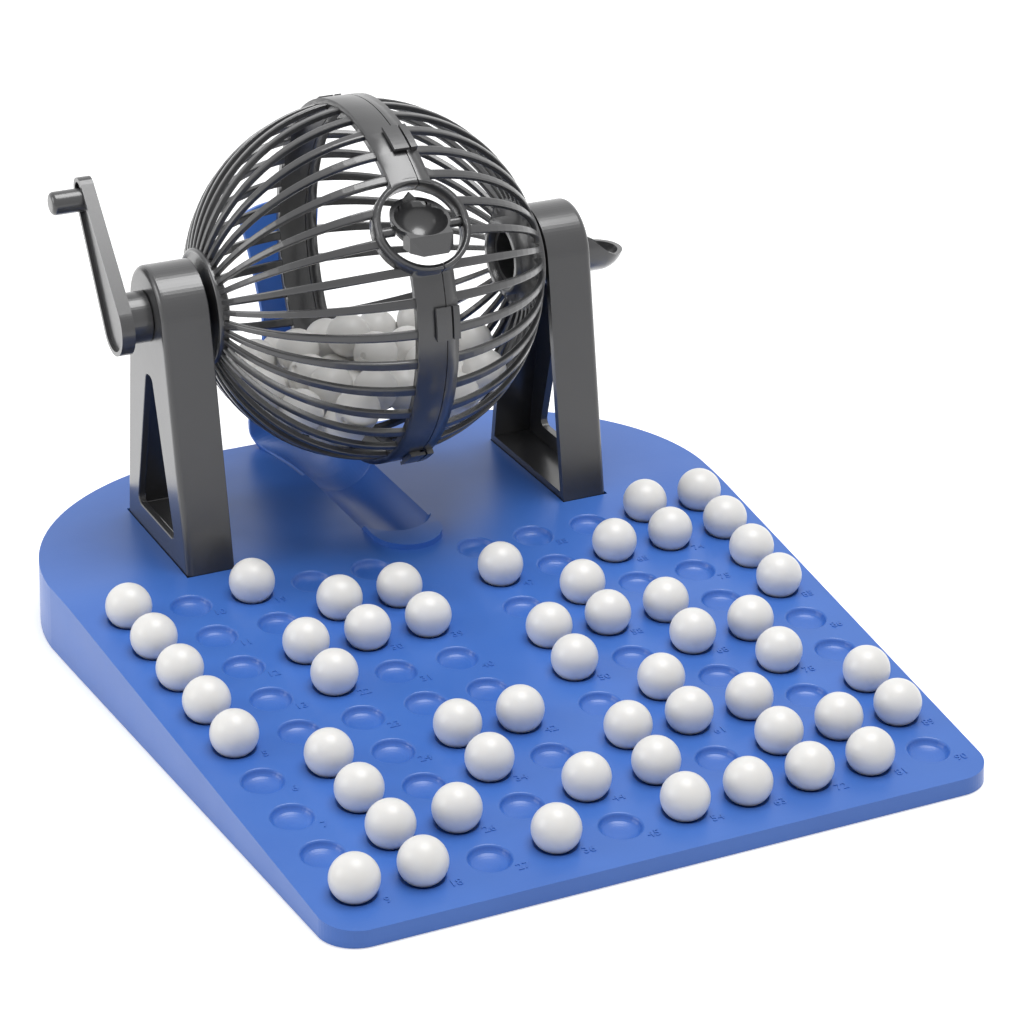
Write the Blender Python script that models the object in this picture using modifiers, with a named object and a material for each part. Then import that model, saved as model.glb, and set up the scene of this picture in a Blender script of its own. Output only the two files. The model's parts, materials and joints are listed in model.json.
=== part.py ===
"""Bingo game: a dimpled tray for the drawn balls and a hand-cranked ball cage on two stands.

Metres, +Z up. +X runs along the cage's axle from the crank to the loading spout, and +Y runs to
the rear. The origin is on the table, below the middle of the whole object.
"""

import math

import bmesh
import bpy
from mathutils import Matrix, Vector

# Clearances and cutting
CLEARANCE = 0.0003
OVERRUN = 0.002

# Balls and the grid of dimples
BALL_DIAMETER = 0.015
BALL_GAP = 0.0003
COLUMNS = 10
ROWS = 9
COLUMN_PITCH = 0.0211
ROW_PITCH = 0.02046
COLUMN_FAN = 0.00109
DIMPLE_DEPTH = 0.0028
DIMPLE_RADIUS = 0.0066
DIMPLE_FLOOR_RADIUS = 0.0029
DIMPLE_SIDES = 8

# Base tray
SLOPE_ANGLE = math.radians(4.76)
FRONT_ROW_Y = -0.1358
FRONT_ROW_Z = 0.007
DECK_HEIGHT = 0.022
FRONT_MARGIN = 0.018
SIDE_MARGIN = 0.015
CORNER_RADIUS = 0.012
REAR_ROUND_START = 0.193
REAR_ROUND_DEPTH = 0.0795
REAR_ROUND_WIDTH = 0.0855
TRAY_WALL = 0.002
TRAY_PLATE = 0.004
TRAY_EDGE_FILLET = 0.0022
TRAY_DRAFT = math.radians(2)
CORNER_STEPS = 5
REAR_STEPS = 12

# Axle, shared by the cage, the crank, the stands and the spout
AXLE_HEIGHT = 0.1034
AXLE_BEHIND_FRONT_ROW = 0.21035
AXLE_Y = FRONT_ROW_Y + AXLE_BEHIND_FRONT_ROW

# Chute groove in the deck
GROOVE_OFFSET = 0.0015
GROOVE_HALF_WIDTH = 0.0125
GROOVE_DEPTH = 0.0085
GROOVE_FLOOR = 0.0042
GROOVE_FRONT = 0.193
GROOVE_REAR = 0.25

# Ball slide, whose tongue lies in the rear end of the groove
SLIDE_THICKNESS = 0.0018
SLIDE_TONGUE = 0.01
SLIDE_RUN = 0.049
SLIDE_RISE = 0.0844
SLIDE_HALF_WIDTH = 0.0196
SLIDE_STRIPS = 6
SLIDE_BED_STATIONS = 8

# Stands
STAND_INNER_X = 0.0606
STAND_WIDTH = 0.0164
STAND_HEAD_RADIUS = 0.0165
STAND_FOOT_HALF_LENGTH = 0.0295
STAND_WALL = 0.0025
STAND_EDGE_FILLET = 0.002
STAND_SEAT_DEPTH = 0.0025
WINDOW_TOP_DROP = 0.021
WINDOW_BOTTOM_DROP = 0.0735
WINDOW_HALF_WIDTH = 0.0178
WINDOW_TOP_HALF_WIDTH = 0.0028
WINDOW_FILLET = 0.0025
BEARING_WALL = 0.0035

# Cage
CAGE_RADIUS = 0.0604
RIB_THICKNESS = 0.002
RIB_WIDTH_AT_BAND = 0.0031
RIB_WIDTH_AT_HUB = 0.0016
RIBS = 36
RIB_STEPS = 5
RIB_PHASE = math.radians(2.5)
BAND_RADIUS = 0.0616
BAND_THICKNESS = 0.0038
BAND_HALF_WIDTH = 0.0068
SEAM_X = 0.00275
BAND_SIDES = 36
DISC_RADIUS = 0.0194
DISC_FACE_X = 0.0578
DISC_THICKNESS = 0.0025
DISC_RIM = 0.0016
HUB_LENGTH_INSIDE = 0.007
HUB_WALL = 0.003

# Snap tabs that lock the two halves
TABS = 6
TAB_PHASE = math.radians(5.5)
TAB_ANGLE = math.radians(10)
TAB_FOOT_SHARE = 0.8
TAB_RISE = 0.0018
TAB_LEFT_X = -0.0015
TAB_SPLIT_X = 0.004
TAB_RIGHT_X = 0.0066

# Outlet ring and the cup that tips in it
OUTLET_ANGLE = math.radians(35.5)
OUTLET_TILT = math.radians(41)
OUTLET_DISTANCE = 0.0582
RING_OUTER_RADIUS = 0.0161
RING_WALL = 0.0021
RING_HEIGHT = 0.0056
RING_SIDES = 28
TRUNNION_RADIUS = 0.0016
CUP_RADIUS = 0.0098
CUP_WALL = 0.0011
CUP_CAVITY_SHIFT = 0.0008
CUP_MOUTH_RISE = 0.0035
CUP_MOUTH_LEAN = math.radians(20)
CUP_BOTTOM_DROP = 0.0058
CUP_LIP_TOP = 0.0092
CUP_LIP_FOOT = 0.006
CUP_LIP_HALF_WIDTH = 0.003
CUP_LIP_THICKNESS = 0.0009
BEAK_ROOT_REACH = 0.0033
BEAK_SHOULDER_REACH = 0.0088
BEAK_REACH = 0.0122
BEAK_DROP = 0.0052
BEAK_TIP_HALF_WIDTH = 0.0043
BEAK_ROOT_HALF_WIDTH = 0.0075

# Crank
SHAFT_RADIUS = 0.0047
CRANK_HUB_RADIUS = 0.0085
CRANK_HUB_LENGTH = 0.007
CRANK_ARM_THICKNESS = 0.0045
CRANK_ARM_HUB_RADIUS = 0.0096
CRANK_ARM_TIP_RADIUS = 0.0045
CRANK_ARM_LENGTH = 0.045
CRANK_ARM_FOOT = 0.002
CRANK_LEAN = math.radians(37)
CRANK_RIM = 0.0015
CRANK_RECESS = 0.0012
KNOB_REACH = 0.042
KNOB_RADIUS = 0.0039
KNOB_LENGTH = 0.0102
KNOB_FILLET = 0.0015

# Loading spout
BORE_RADIUS = 0.0084
SPOUT_WALL = 0.0016
SPOUT_LENGTH = 0.0195
SPOUT_TUBE_REACH = 0.0075

# Facets and shading
ROUND_SIDES = 24
PIN_SIDES = 12
NOSE_STEPS = 5
SMOOTH_ANGLE = math.radians(35)

# Dimples that hold a ball, column by column from the crank side, rows counted from the rear
DRAWN_ROWS = (
    (0, 1, 2, 3, 4, 8),
    (5, 6, 7, 8),
    (0, 2, 3, 7),
    (1, 2, 5, 6, 8),
    (1, 2, 5, 7),
    (1, 3, 4, 6, 7, 8),
    (2, 3, 5, 6, 8),
    (1, 3, 4, 6, 7, 8),
    (0, 1, 4, 5, 7, 8),
    (0, 1, 2, 3, 6, 7),
)


def clear_scene():
    for old in list(bpy.data.objects):
        bpy.data.objects.remove(old)


def new_collection(name):
    made = bpy.data.collections.new(name)
    bpy.context.scene.collection.children.link(made)
    return made


def new_material(name, colour, roughness):
    material = bpy.data.materials.new(name)
    material.use_nodes = True
    shader = material.node_tree.nodes["Principled BSDF"]
    shader.inputs["Base Color"].default_value = (*colour, 1.0)
    shader.inputs["Roughness"].default_value = roughness
    shader.inputs["Metallic"].default_value = 0.0
    material.diffuse_color = (*colour, 1.0)
    return material


def as_object(name, bm):
    """A mesh object from bm, with its faces turned outward, in the cutters' collection."""
    bmesh.ops.recalc_face_normals(bm, faces=bm.faces)
    mesh = bpy.data.meshes.new(name)
    bm.to_mesh(mesh)
    bm.free()
    made = bpy.data.objects.new(name, mesh)
    cutters.objects.link(made)
    made.hide_render = True
    made.display_type = "WIRE"
    return made


def boolean(target, other, operation):
    modifier = target.modifiers.new(operation.lower(), "BOOLEAN")
    modifier.operation = operation
    modifier.solver = "EXACT"
    modifier.object = other


def finished(obj, name, material):
    """Turns a construction object with its modifiers into a plain piece of the game."""
    graph = bpy.context.evaluated_depsgraph_get()
    mesh = bpy.data.meshes.new_from_object(obj.evaluated_get(graph))
    mesh.name = name
    mesh.materials.clear()
    mesh.materials.append(material)
    mesh.shade_smooth()
    mesh.set_sharp_from_angle(angle=SMOOTH_ANGLE)
    piece = bpy.data.objects.new(name, mesh)
    piece.matrix_world = obj.matrix_world
    parts.objects.link(piece)
    return piece


def prism(name, outline, bottom, top):
    """An outline of (x, y) points raised from bottom to top along Z."""
    bm = bmesh.new()
    face = bm.faces.new([bm.verts.new((x, y, bottom)) for x, y in outline])
    raised = bmesh.ops.extrude_face_region(bm, geom=[face], use_keep_orig=True)
    upper = [item for item in raised["geom"] if isinstance(item, bmesh.types.BMVert)]
    bmesh.ops.translate(bm, verts=upper, vec=(0, 0, top - bottom))
    return as_object(name, bm)


def side_prism(name, outline, start_x, end_x):
    """An outline of (y, z) points about the axle, raised along X from start_x to end_x."""
    made = prism(name, outline, start_x, end_x)
    made.matrix_world = AXLE_PLACE @ Matrix(((0, 0, 1, 0), (1, 0, 0, 0), (0, 1, 0, 0), (0, 0, 0, 1)))
    return made


def rod(name, radius, start_x, end_x, sides=ROUND_SIDES, centre=(0, 0)):
    """A round bar along X, with its centre line at (y, z) from the axle."""
    bm = bmesh.new()
    length = end_x - start_x
    bmesh.ops.create_cone(
        bm, cap_ends=True, segments=sides, radius1=radius, radius2=radius, depth=length
    )
    made = as_object(name, bm)
    middle = Matrix.Translation((start_x + length / 2, *centre))
    made.matrix_world = AXLE_PLACE @ middle @ Matrix.Rotation(math.pi / 2, 4, "Y")
    return made


def turned(name, profile, sides, place):
    """A turned ring or shell: (radius, height) points, down the outer side and up the inner."""
    bm = bmesh.new()
    points = [bm.verts.new((radius, 0, height)) for radius, height in profile]
    for first, second in zip(points, points[1:] + points[:1]):
        if first.co.x + second.co.x > 0:
            bm.edges.new((first, second))
    mesh = bpy.data.meshes.new(name)
    bm.to_mesh(mesh)
    bm.free()
    made = bpy.data.objects.new(name, mesh)
    cutters.objects.link(made)
    made.hide_render = True
    made.display_type = "WIRE"
    screw = made.modifiers.new("turn", "SCREW")
    screw.steps = sides
    screw.render_steps = sides
    screw.use_merge_vertices = True
    screw.merge_threshold = 1e-6
    made.matrix_world = place
    return made


def arc(centre, radius, start, end, steps):
    """Points on an arc, both ends included."""
    turns = [start + (end - start) * step / steps for step in range(steps + 1)]
    return [(centre[0] + radius * math.cos(t), centre[1] + radius * math.sin(t)) for t in turns]


def rounded(corners, radius, steps=4):
    """The outline of a convex polygon, given anticlockwise, with each corner rounded."""
    outline = []
    for index, corner in enumerate(corners):
        here = Vector(corner)
        arriving = (here - Vector(corners[index - 1])).normalized()
        leaving = (Vector(corners[(index + 1) % len(corners)]) - here).normalized()
        normals = Vector((arriving.y, -arriving.x)), Vector((leaving.y, -leaving.x))
        centre = here - (normals[0] + normals[1]) * radius / (1 + normals[0].dot(normals[1]))
        start = math.atan2(normals[0].y, normals[0].x)
        bend = math.atan2(arriving.cross(leaving), arriving.dot(leaving))
        outline += arc(centre, radius, start, start + bend, steps)
    return outline


def surface_height(y):
    """Height of the tray's top: the dimple field slopes up to the level rear deck."""
    slope = FRONT_ROW_Z + (y - FRONT_ROW_Y) * math.tan(SLOPE_ANGLE)
    return min(DECK_HEIGHT, slope)


def crease_y():
    return FRONT_ROW_Y + (DECK_HEIGHT - FRONT_ROW_Z) / math.tan(SLOPE_ANGLE)


def dimple_place(column, row):
    """Centre of a dimple on the sloped top. Row 0 is the rear row."""
    steps_back = ROWS - 1 - row
    side = 1 if 2 * column >= COLUMNS else -1
    x = (column - (COLUMNS - 1) / 2) * COLUMN_PITCH + side * COLUMN_FAN * steps_back
    y = FRONT_ROW_Y + steps_back * ROW_PITCH * math.cos(SLOPE_ANGLE)
    return Vector((x, y, surface_height(y)))


def tray_side_x(y, inset):
    """Half width of the tray, whose sides follow the outer columns."""
    outer = (COLUMNS - 1) / 2 * COLUMN_PITCH + SIDE_MARGIN - inset
    return outer + COLUMN_FAN * (y - FRONT_ROW_Y) / (ROW_PITCH * math.cos(SLOPE_ANGLE))


def tray_outline(inset):
    """Plan of the tray, anticlockwise from the front: straight sides and a rounded rear."""
    front = FRONT_ROW_Y - FRONT_MARGIN + inset
    radius = CORNER_RADIUS - inset
    corner = (tray_side_x(front, inset) - radius, front + radius)
    right = arc(corner, radius, -math.pi / 2, 0, CORNER_STEPS)
    crease = crease_y()
    right.append((tray_side_x(crease, inset), crease))
    rear_y = FRONT_ROW_Y + REAR_ROUND_START
    wide = REAR_ROUND_WIDTH - inset
    deep = REAR_ROUND_DEPTH - inset
    centre_x = tray_side_x(rear_y, inset) - wide
    for step in range(REAR_STEPS + 1):
        turn = math.pi / 2 * step / REAR_STEPS
        right.append((centre_x + wide * math.cos(turn), rear_y + deep * math.sin(turn)))
    return right + [(-x, y) for x, y in reversed(right)]


def tray_block(name, inset, drop, bottom, fillet):
    """The tray's outer form, or with an inset and a drop the hollow below it."""
    bm = bmesh.new()
    outline = tray_outline(inset)
    lower = []
    upper = []
    for x, y in outline:
        top = surface_height(y) - drop
        spread = (top - bottom) * math.tan(TRAY_DRAFT)
        outward = Vector((x, y - AXLE_Y / 2, 0)).normalized() * spread
        lower.append(bm.verts.new((x + outward.x, y + outward.y, bottom)))
        upper.append(bm.verts.new((x, y, top)))
    count = len(outline)
    for index in range(count):
        after = (index + 1) % count
        bm.faces.new((lower[index], lower[after], upper[after], upper[index]))
    bm.faces.new(list(reversed(lower)))
    rim = [bm.edges.get((upper[index], upper[(index + 1) % count])) for index in range(count)]
    level = [v for v in upper if v.co.y > crease_y() - CLEARANCE]
    sloped = [v for v in upper if v.co.y < crease_y() + CLEARANCE]
    bm.faces.new(level)
    bm.faces.new(sloped)
    if fillet:
        bmesh.ops.bevel(bm, geom=rim, offset=fillet, segments=2, profile=0.5, affect="EDGES")
    return as_object(name, bm)


def dimple_cutters():
    """All the dimples as tapered plugs square to the sloped top."""
    bm = bmesh.new()
    tilt = Matrix.Rotation(SLOPE_ANGLE, 4, "X")
    flare = (DIMPLE_RADIUS - DIMPLE_FLOOR_RADIUS) / DIMPLE_DEPTH
    corner_share = 1 / math.cos(math.pi / DIMPLE_SIDES)
    for column in range(COLUMNS):
        for row in range(ROWS):
            centre = Matrix.Translation(dimple_place(column, row))
            middle = Matrix.Translation((0, 0, (OVERRUN - DIMPLE_DEPTH) / 2))
            bmesh.ops.create_cone(
                bm,
                cap_ends=True,
                segments=DIMPLE_SIDES,
                radius1=DIMPLE_FLOOR_RADIUS * corner_share,
                radius2=(DIMPLE_RADIUS + flare * OVERRUN) * corner_share,
                depth=DIMPLE_DEPTH + OVERRUN,
                matrix=centre @ tilt @ middle,
            )
    return as_object("dimple_cutters", bm)


def groove_form(name, extra):
    """The chute groove as a round-nosed bar lying along Y, extra larger all round."""
    sag = (GROOVE_HALF_WIDTH**2 + GROOVE_DEPTH**2) / (2 * GROOVE_DEPTH)
    radius = sag + extra
    nose = GROOVE_REAR - GROOVE_FRONT
    profile = [(0, nose + radius)]
    profile += [(radius * math.cos(t), nose + radius * math.sin(t)) for t in quarter(True)]
    profile += [(radius * math.cos(t), -radius * math.sin(t)) for t in quarter(False)]
    profile.append((0, -radius))
    place = Matrix.Translation(
        (GROOVE_OFFSET, FRONT_ROW_Y + GROOVE_FRONT, DECK_HEIGHT - GROOVE_DEPTH + sag)
    )
    return turned(name, profile, ROUND_SIDES, place @ Matrix.Rotation(-math.pi / 2, 4, "X"))


def quarter(downward):
    """Angles over a quarter turn without its pole: from the pole down, or from the side on."""
    turns = [math.pi / 2 * step / NOSE_STEPS for step in range(NOSE_STEPS)]
    return list(reversed(turns)) if downward else turns


def make_tray():
    body = tray_block("tray_body", 0, 0, 0, TRAY_EDGE_FILLET)
    hollow = tray_block("tray_hollow", TRAY_WALL, TRAY_PLATE, -OVERRUN, 0)
    boolean(hollow, groove_form("groove_keel", GROOVE_FLOOR), "DIFFERENCE")
    boolean(body, hollow, "DIFFERENCE")
    boolean(body, groove_form("groove_cutter", 0), "DIFFERENCE")
    boolean(body, slide_bed(), "DIFFERENCE")
    boolean(body, dimple_cutters(), "DIFFERENCE")
    for side in (-1, 1):
        boolean(body, stand_seat(side), "DIFFERENCE")
    return finished(body, "base_tray", blue)


# The slide from its tongue to its top, in shares of its half width, its run to the rear and its
# rise above the deck: (run, rise) along the middle, (half width, run, rise) along the edge.
SLIDE_MIDDLE_SHARES = (
    (0.0, -0.098),
    (0.204, -0.082),
    (0.368, -0.047),
    (0.499, 0.002),
    (0.602, 0.063),
    (0.677, 0.145),
    (0.736, 0.265),
    (0.784, 0.41),
    (0.829, 0.554),
    (0.884, 0.711),
    (0.944, 0.867),
    (1.0, 1.0),
)
SLIDE_EDGE_SHARES = (
    (0.62, 0.0, 0.007),
    (0.65, 0.204, 0.007),
    (0.73, 0.368, 0.007),
    (0.842, 0.499, 0.012),
    (0.949, 0.602, 0.031),
    (1.0, 0.648, 0.078),
    (0.893, 0.684, 0.193),
    (0.653, 0.726, 0.349),
    (0.52, 0.773, 0.494),
    (0.57, 0.829, 0.663),
    (0.66, 0.888, 0.831),
    (0.76, 0.944, 0.964),
)


def slide_sheet(gap, drop, stations):
    """The slide's upper surface as an open sheet, lowered by drop along its own normals."""
    bm = bmesh.new()
    front = FRONT_ROW_Y + GROOVE_REAR - SLIDE_TONGUE - gap
    grid = []
    for middle, edge in list(zip(SLIDE_MIDDLE_SHARES, SLIDE_EDGE_SHARES))[:stations]:
        half_width = edge[0] * SLIDE_HALF_WIDTH + gap
        line = []
        for strip in range(SLIDE_STRIPS + 1):
            across = 2 * strip / SLIDE_STRIPS - 1
            run = middle[0] + (edge[1] - middle[0]) * across**2
            rise = middle[1] + (edge[2] - middle[1]) * across**2
            place = (half_width * across, front + run * SLIDE_RUN, DECK_HEIGHT + rise * SLIDE_RISE)
            line.append(bm.verts.new(place))
        grid.append(line)
        front = FRONT_ROW_Y + GROOVE_REAR - SLIDE_TONGUE
    for line, following in zip(grid, grid[1:]):
        for strip in range(SLIDE_STRIPS):
            bm.faces.new((line[strip], line[strip + 1], following[strip + 1], following[strip]))
    bmesh.ops.triangulate(bm, faces=bm.faces, quad_method="FIXED")
    bm.normal_update()
    offsets = [(vert, vert.normal * -drop) for vert in bm.verts]
    for vert, offset in offsets:
        vert.co += offset
    return bm


def slide_bed():
    """Cutter for the slide's bed in the deck: the slide's underside with a clearance, and up."""
    bm = slide_sheet(CLEARANCE, SLIDE_THICKNESS + CLEARANCE, SLIDE_BED_STATIONS)
    raised = bmesh.ops.extrude_face_region(bm, geom=list(bm.faces), use_keep_orig=True)
    upper = [item for item in raised["geom"] if isinstance(item, bmesh.types.BMVert)]
    bmesh.ops.translate(bm, verts=upper, vec=(0, 0, DECK_HEIGHT))
    return as_object("slide_bed", bm)


def make_slide():
    bm = slide_sheet(0, 0, len(SLIDE_MIDDLE_SHARES))
    mesh = bpy.data.meshes.new("slide_sheet")
    bm.to_mesh(mesh)
    bm.free()
    sheet = bpy.data.objects.new("slide_sheet", mesh)
    cutters.objects.link(sheet)
    sheet.hide_render = True
    shell = sheet.modifiers.new("shell", "SOLIDIFY")
    shell.thickness = SLIDE_THICKNESS
    shell.offset = -1
    return finished(sheet, "ball_slide", blue)


def stand_corner_turn():
    """Angle on the head circle where the straight edge from the foot touches it."""
    drop = AXLE_HEIGHT - DECK_HEIGHT
    away = math.hypot(STAND_FOOT_HALF_LENGTH, drop)
    return math.atan2(-drop, STAND_FOOT_HALF_LENGTH) + math.acos(STAND_HEAD_RADIUS / away)


def stand_half_length(height, inset):
    """Half the length of a stand at a height about the axle, inset by a wall."""
    turn = stand_corner_turn()
    return (STAND_HEAD_RADIUS - inset - height * math.sin(turn)) / math.cos(turn)


def stand_outline(inset, bottom):
    """Side view of a stand about the axle, anticlockwise, inset by a wall."""
    start = stand_corner_turn()
    head = arc((0, 0), STAND_HEAD_RADIUS - inset, start, math.pi - start, 10)
    deck = DECK_HEIGHT - AXLE_HEIGHT
    if bottom > deck:
        half = stand_half_length(bottom, inset)
        return [(-half, bottom), (half, bottom)] + head
    half = stand_half_length(deck, inset)
    return [(-half, deck), (-half, bottom), (half, bottom), (half, deck)] + head


def stand_seat(side):
    """Cutter for the pocket in the deck that a stand's foot stands in."""
    half = STAND_FOOT_HALF_LENGTH + CLEARANCE
    floor = DECK_HEIGHT - STAND_SEAT_DEPTH - AXLE_HEIGHT
    top = DECK_HEIGHT + OVERRUN - AXLE_HEIGHT
    outline = [(-half, floor), (half, floor), (half, top), (-half, top)]
    inner = side * (STAND_INNER_X - CLEARANCE)
    outer = side * (STAND_INNER_X + STAND_WIDTH + CLEARANCE)
    label = "crank" if side < 0 else "spout"
    return side_prism(f"stand_seat_{label}", outline, *sorted((inner, outer)))


def stand_shell(side, bore_radius):
    """A stand as a channel open towards the cage, with a bearing boss and a window."""
    label = "crank" if side < 0 else "spout"
    inner = side * STAND_INNER_X
    outer = side * (STAND_INNER_X + STAND_WIDTH)
    bottom = DECK_HEIGHT - STAND_SEAT_DEPTH + CLEARANCE - AXLE_HEIGHT
    body = side_prism(f"stand_body_{label}", stand_outline(0, bottom), *sorted((inner, outer)))
    soften_outer_edge(body, outer)
    floor = outer - side * STAND_WALL
    open_end = inner - side * OVERRUN
    hollow_bottom = DECK_HEIGHT + STAND_WALL - AXLE_HEIGHT
    hollow = side_prism(
        f"stand_hollow_{label}", stand_outline(STAND_WALL, hollow_bottom), *sorted((open_end, floor))
    )
    boss = rod(f"stand_boss_{label}", bore_radius + BEARING_WALL, *sorted((open_end, outer)))
    boolean(hollow, boss, "DIFFERENCE")
    boolean(body, hollow, "DIFFERENCE")
    corners = (
        (-WINDOW_TOP_HALF_WIDTH, -WINDOW_TOP_DROP),
        (-WINDOW_HALF_WIDTH, -WINDOW_BOTTOM_DROP),
        (WINDOW_HALF_WIDTH, -WINDOW_BOTTOM_DROP),
        (WINDOW_TOP_HALF_WIDTH, -WINDOW_TOP_DROP),
    )
    beyond = outer + side * OVERRUN
    window = side_prism(
        f"stand_window_{label}", rounded(corners, WINDOW_FILLET), *sorted((open_end, beyond))
    )
    boolean(body, window, "DIFFERENCE")
    return body


def soften_outer_edge(body, outer):
    """Rounds the edge all round a stand's outer face."""
    bm = bmesh.new()
    bm.from_mesh(body.data)
    rim = [e for e in bm.edges if all(abs(v.co.z - outer) < CLEARANCE for v in e.verts)]
    bmesh.ops.bevel(bm, geom=rim, offset=STAND_EDGE_FILLET, segments=2, profile=0.5, affect="EDGES")
    bm.to_mesh(body.data)
    bm.free()


def make_crank_stand():
    bore_radius = SHAFT_RADIUS + CLEARANCE
    body = stand_shell(-1, bore_radius)
    outer_face = -STAND_INNER_X - STAND_WIDTH
    bore = rod("crank_bore", bore_radius, outer_face - OVERRUN, -STAND_INNER_X + OVERRUN)
    boolean(body, bore, "DIFFERENCE")
    return finished(body, "stand_crank_side", grey)


def round_nosed(name, radius, start, end):
    """A round bar about the axle from start to a ball nose centred at end."""
    profile = [(0, end + radius)]
    profile += [(radius * math.cos(t), end + radius * math.sin(t)) for t in quarter(True)]
    profile += [(radius, start), (0, start)]
    return turned(name, profile, ROUND_SIDES, AXLE_PLACE @ Matrix.Rotation(math.pi / 2, 4, "Y"))


# The scoop's rim from the stand outwards, seen from the front: shares of the scoop's length and
# of its outer radius above the axle.
SPOUT_RIM_SHARES = ((0.03, 0.73), (0.2, 0.4), (0.36, 0.16), (0.53, -0.12), (0.7, -0.28))


def spout_opening(outer_face, tube_radius):
    """What is cut away above the scoop's rim."""
    reach = tube_radius + OVERRUN
    end = outer_face + SPOUT_LENGTH + OVERRUN
    rim = [(outer_face + out * SPOUT_LENGTH, up * tube_radius) for out, up in SPOUT_RIM_SHARES]
    outline = [(rim[0][0], reach), *rim, (end, rim[-1][1]), (end, reach)]
    made = prism("spout_opening", outline, -reach, reach)
    made.matrix_world = AXLE_PLACE @ Matrix.Rotation(math.pi / 2, 4, "X")
    return made


def make_spout_stand():
    """The spout-side stand, moulded with the tube that carries the cage and with the scoop."""
    body = stand_shell(1, BORE_RADIUS)
    outer_face = STAND_INNER_X + STAND_WIDTH
    tube_radius = BORE_RADIUS + SPOUT_WALL
    start = STAND_INNER_X - SPOUT_TUBE_REACH
    nose = outer_face + SPOUT_LENGTH - tube_radius
    spout = round_nosed("spout_outside", tube_radius, start, nose)
    boolean(spout, spout_opening(outer_face, tube_radius), "DIFFERENCE")
    boolean(body, spout, "UNION")
    boolean(body, round_nosed("spout_bore", BORE_RADIUS, start - OVERRUN, nose), "DIFFERENCE")
    return finished(body, "stand_spout_side", grey)


def bent_bar(bm, steps, place):
    """A unit cube cut into steps slices and bent by place(along, across, through)."""
    already = len(bm.verts)
    made = bmesh.ops.create_cube(bm, size=1)
    edges = {edge for vert in made["verts"] for edge in vert.link_edges}
    long_edges = [e for e in edges if abs(e.verts[0].co.x - e.verts[1].co.x) > 0.5]
    bmesh.ops.subdivide_edges(bm, edges=long_edges, cuts=steps - 1, use_grid_fill=True)
    bm.verts.ensure_lookup_table()
    for vert in bm.verts[already:]:
        vert.co = place(vert.co.x + 0.5, vert.co.y, vert.co.z)


def around(angle, radius, x):
    """A point at a radius from the axle. Angle 0 faces the front and a quarter turn faces up."""
    return Vector((x, -radius * math.cos(angle), radius * math.sin(angle)))


def make_ribs(side):
    """The meridian ribs of one half, from its polar disc to the band."""
    bm = bmesh.new()
    middle = CAGE_RADIUS - RIB_THICKNESS / 2
    start = math.asin((DISC_RADIUS - DISC_RIM) / CAGE_RADIUS)
    end = math.acos((BAND_HALF_WIDTH - RIB_THICKNESS / 2) / CAGE_RADIUS)
    for rib in range(RIBS):
        turn = RIB_PHASE + 2 * math.pi * rib / RIBS
        side_step = around(turn + math.pi / 2, 1, 0)

        def place(along, across, through):
            polar = start + (end - start) * along
            radius = middle + RIB_THICKNESS * through
            width = RIB_WIDTH_AT_HUB + (RIB_WIDTH_AT_BAND - RIB_WIDTH_AT_HUB) * along
            base = around(turn, radius * math.sin(polar), side * radius * math.cos(polar))
            return base + side_step * width * across

        bent_bar(bm, RIB_STEPS, place)
    made = as_object(f"ribs_{'crank' if side < 0 else 'spout'}", bm)
    made.matrix_world = AXLE_PLACE
    return made


def band_strip(name, left_x, right_x, outer, inner):
    """A ring about the axle between two places along it."""
    profile = [(outer, right_x), (outer, left_x), (inner, left_x), (inner, right_x)]
    return turned(name, profile, BAND_SIDES, AXLE_PLACE @ Matrix.Rotation(math.pi / 2, 4, "Y"))


def snap_tabs(name, ends, radii, angle):
    """Blocks round the band between two places along the axle and between two radii."""
    bm = bmesh.new()
    for tab in range(TABS):
        turn = TAB_PHASE + 2 * math.pi * tab / TABS

        def place(along, across, through):
            radius = radii[0] + (radii[1] - radii[0]) * (through + 0.5)
            x = ends[0] + (ends[1] - ends[0]) * (across + 0.5)
            return around(turn + angle * (along - 0.5), radius, x)

        bent_bar(bm, 2, place)
    made = as_object(name, bm)
    made.matrix_world = AXLE_PLACE
    return made


def outlet_place():
    """Frame of the outlet ring: its centre, X along the axle, Z out of the ring."""
    centre = around(OUTLET_ANGLE, OUTLET_DISTANCE, 0)
    return AXLE_PLACE @ Matrix.Translation(centre) @ Matrix.Rotation(math.pi / 2 - OUTLET_TILT, 4, "X")


def ring_tube(name, outer, inner, height):
    profile = [(outer, height / 2), (outer, -height / 2), (inner, -height / 2), (inner, height / 2)]
    return turned(name, profile, RING_SIDES, outlet_place())


def cage_half(side):
    """Ribs, polar disc, band and outlet ring, joined into one moulding and parted at the seam."""
    label = "crank" if side < 0 else "spout"
    seam = SEAM_X + side * CLEARANCE / 2
    ends = sorted((side * BAND_HALF_WIDTH, seam - side * OVERRUN))
    body = band_strip(f"band_{label}", *ends, BAND_RADIUS, BAND_RADIUS - BAND_THICKNESS)
    boolean(body, make_ribs(side), "UNION")
    boolean(body, polar_disc(side), "UNION")
    clearing_radius = RING_OUTER_RADIUS - RING_WALL / 2
    clearing = ring_tube(f"outlet_clearing_{label}", clearing_radius, 0, 2 * RING_OUTER_RADIUS)
    boolean(body, clearing, "DIFFERENCE")
    inner = RING_OUTER_RADIUS - RING_WALL
    ring = ring_tube(f"outlet_ring_{label}", RING_OUTER_RADIUS, inner, RING_HEIGHT)
    boolean(body, ring, "UNION")
    boolean(body, trunnion_hole(side), "DIFFERENCE")
    far = 2 * CAGE_RADIUS
    square = [(-far, -far), (far, -far), (far, far), (-far, far)]
    boolean(body, side_prism(f"seam_cut_{label}", square, *sorted((seam, -side * far))), "DIFFERENCE")
    for tab in side_tabs(side, seam):
        boolean(body, tab, "UNION")
    return body


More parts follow.
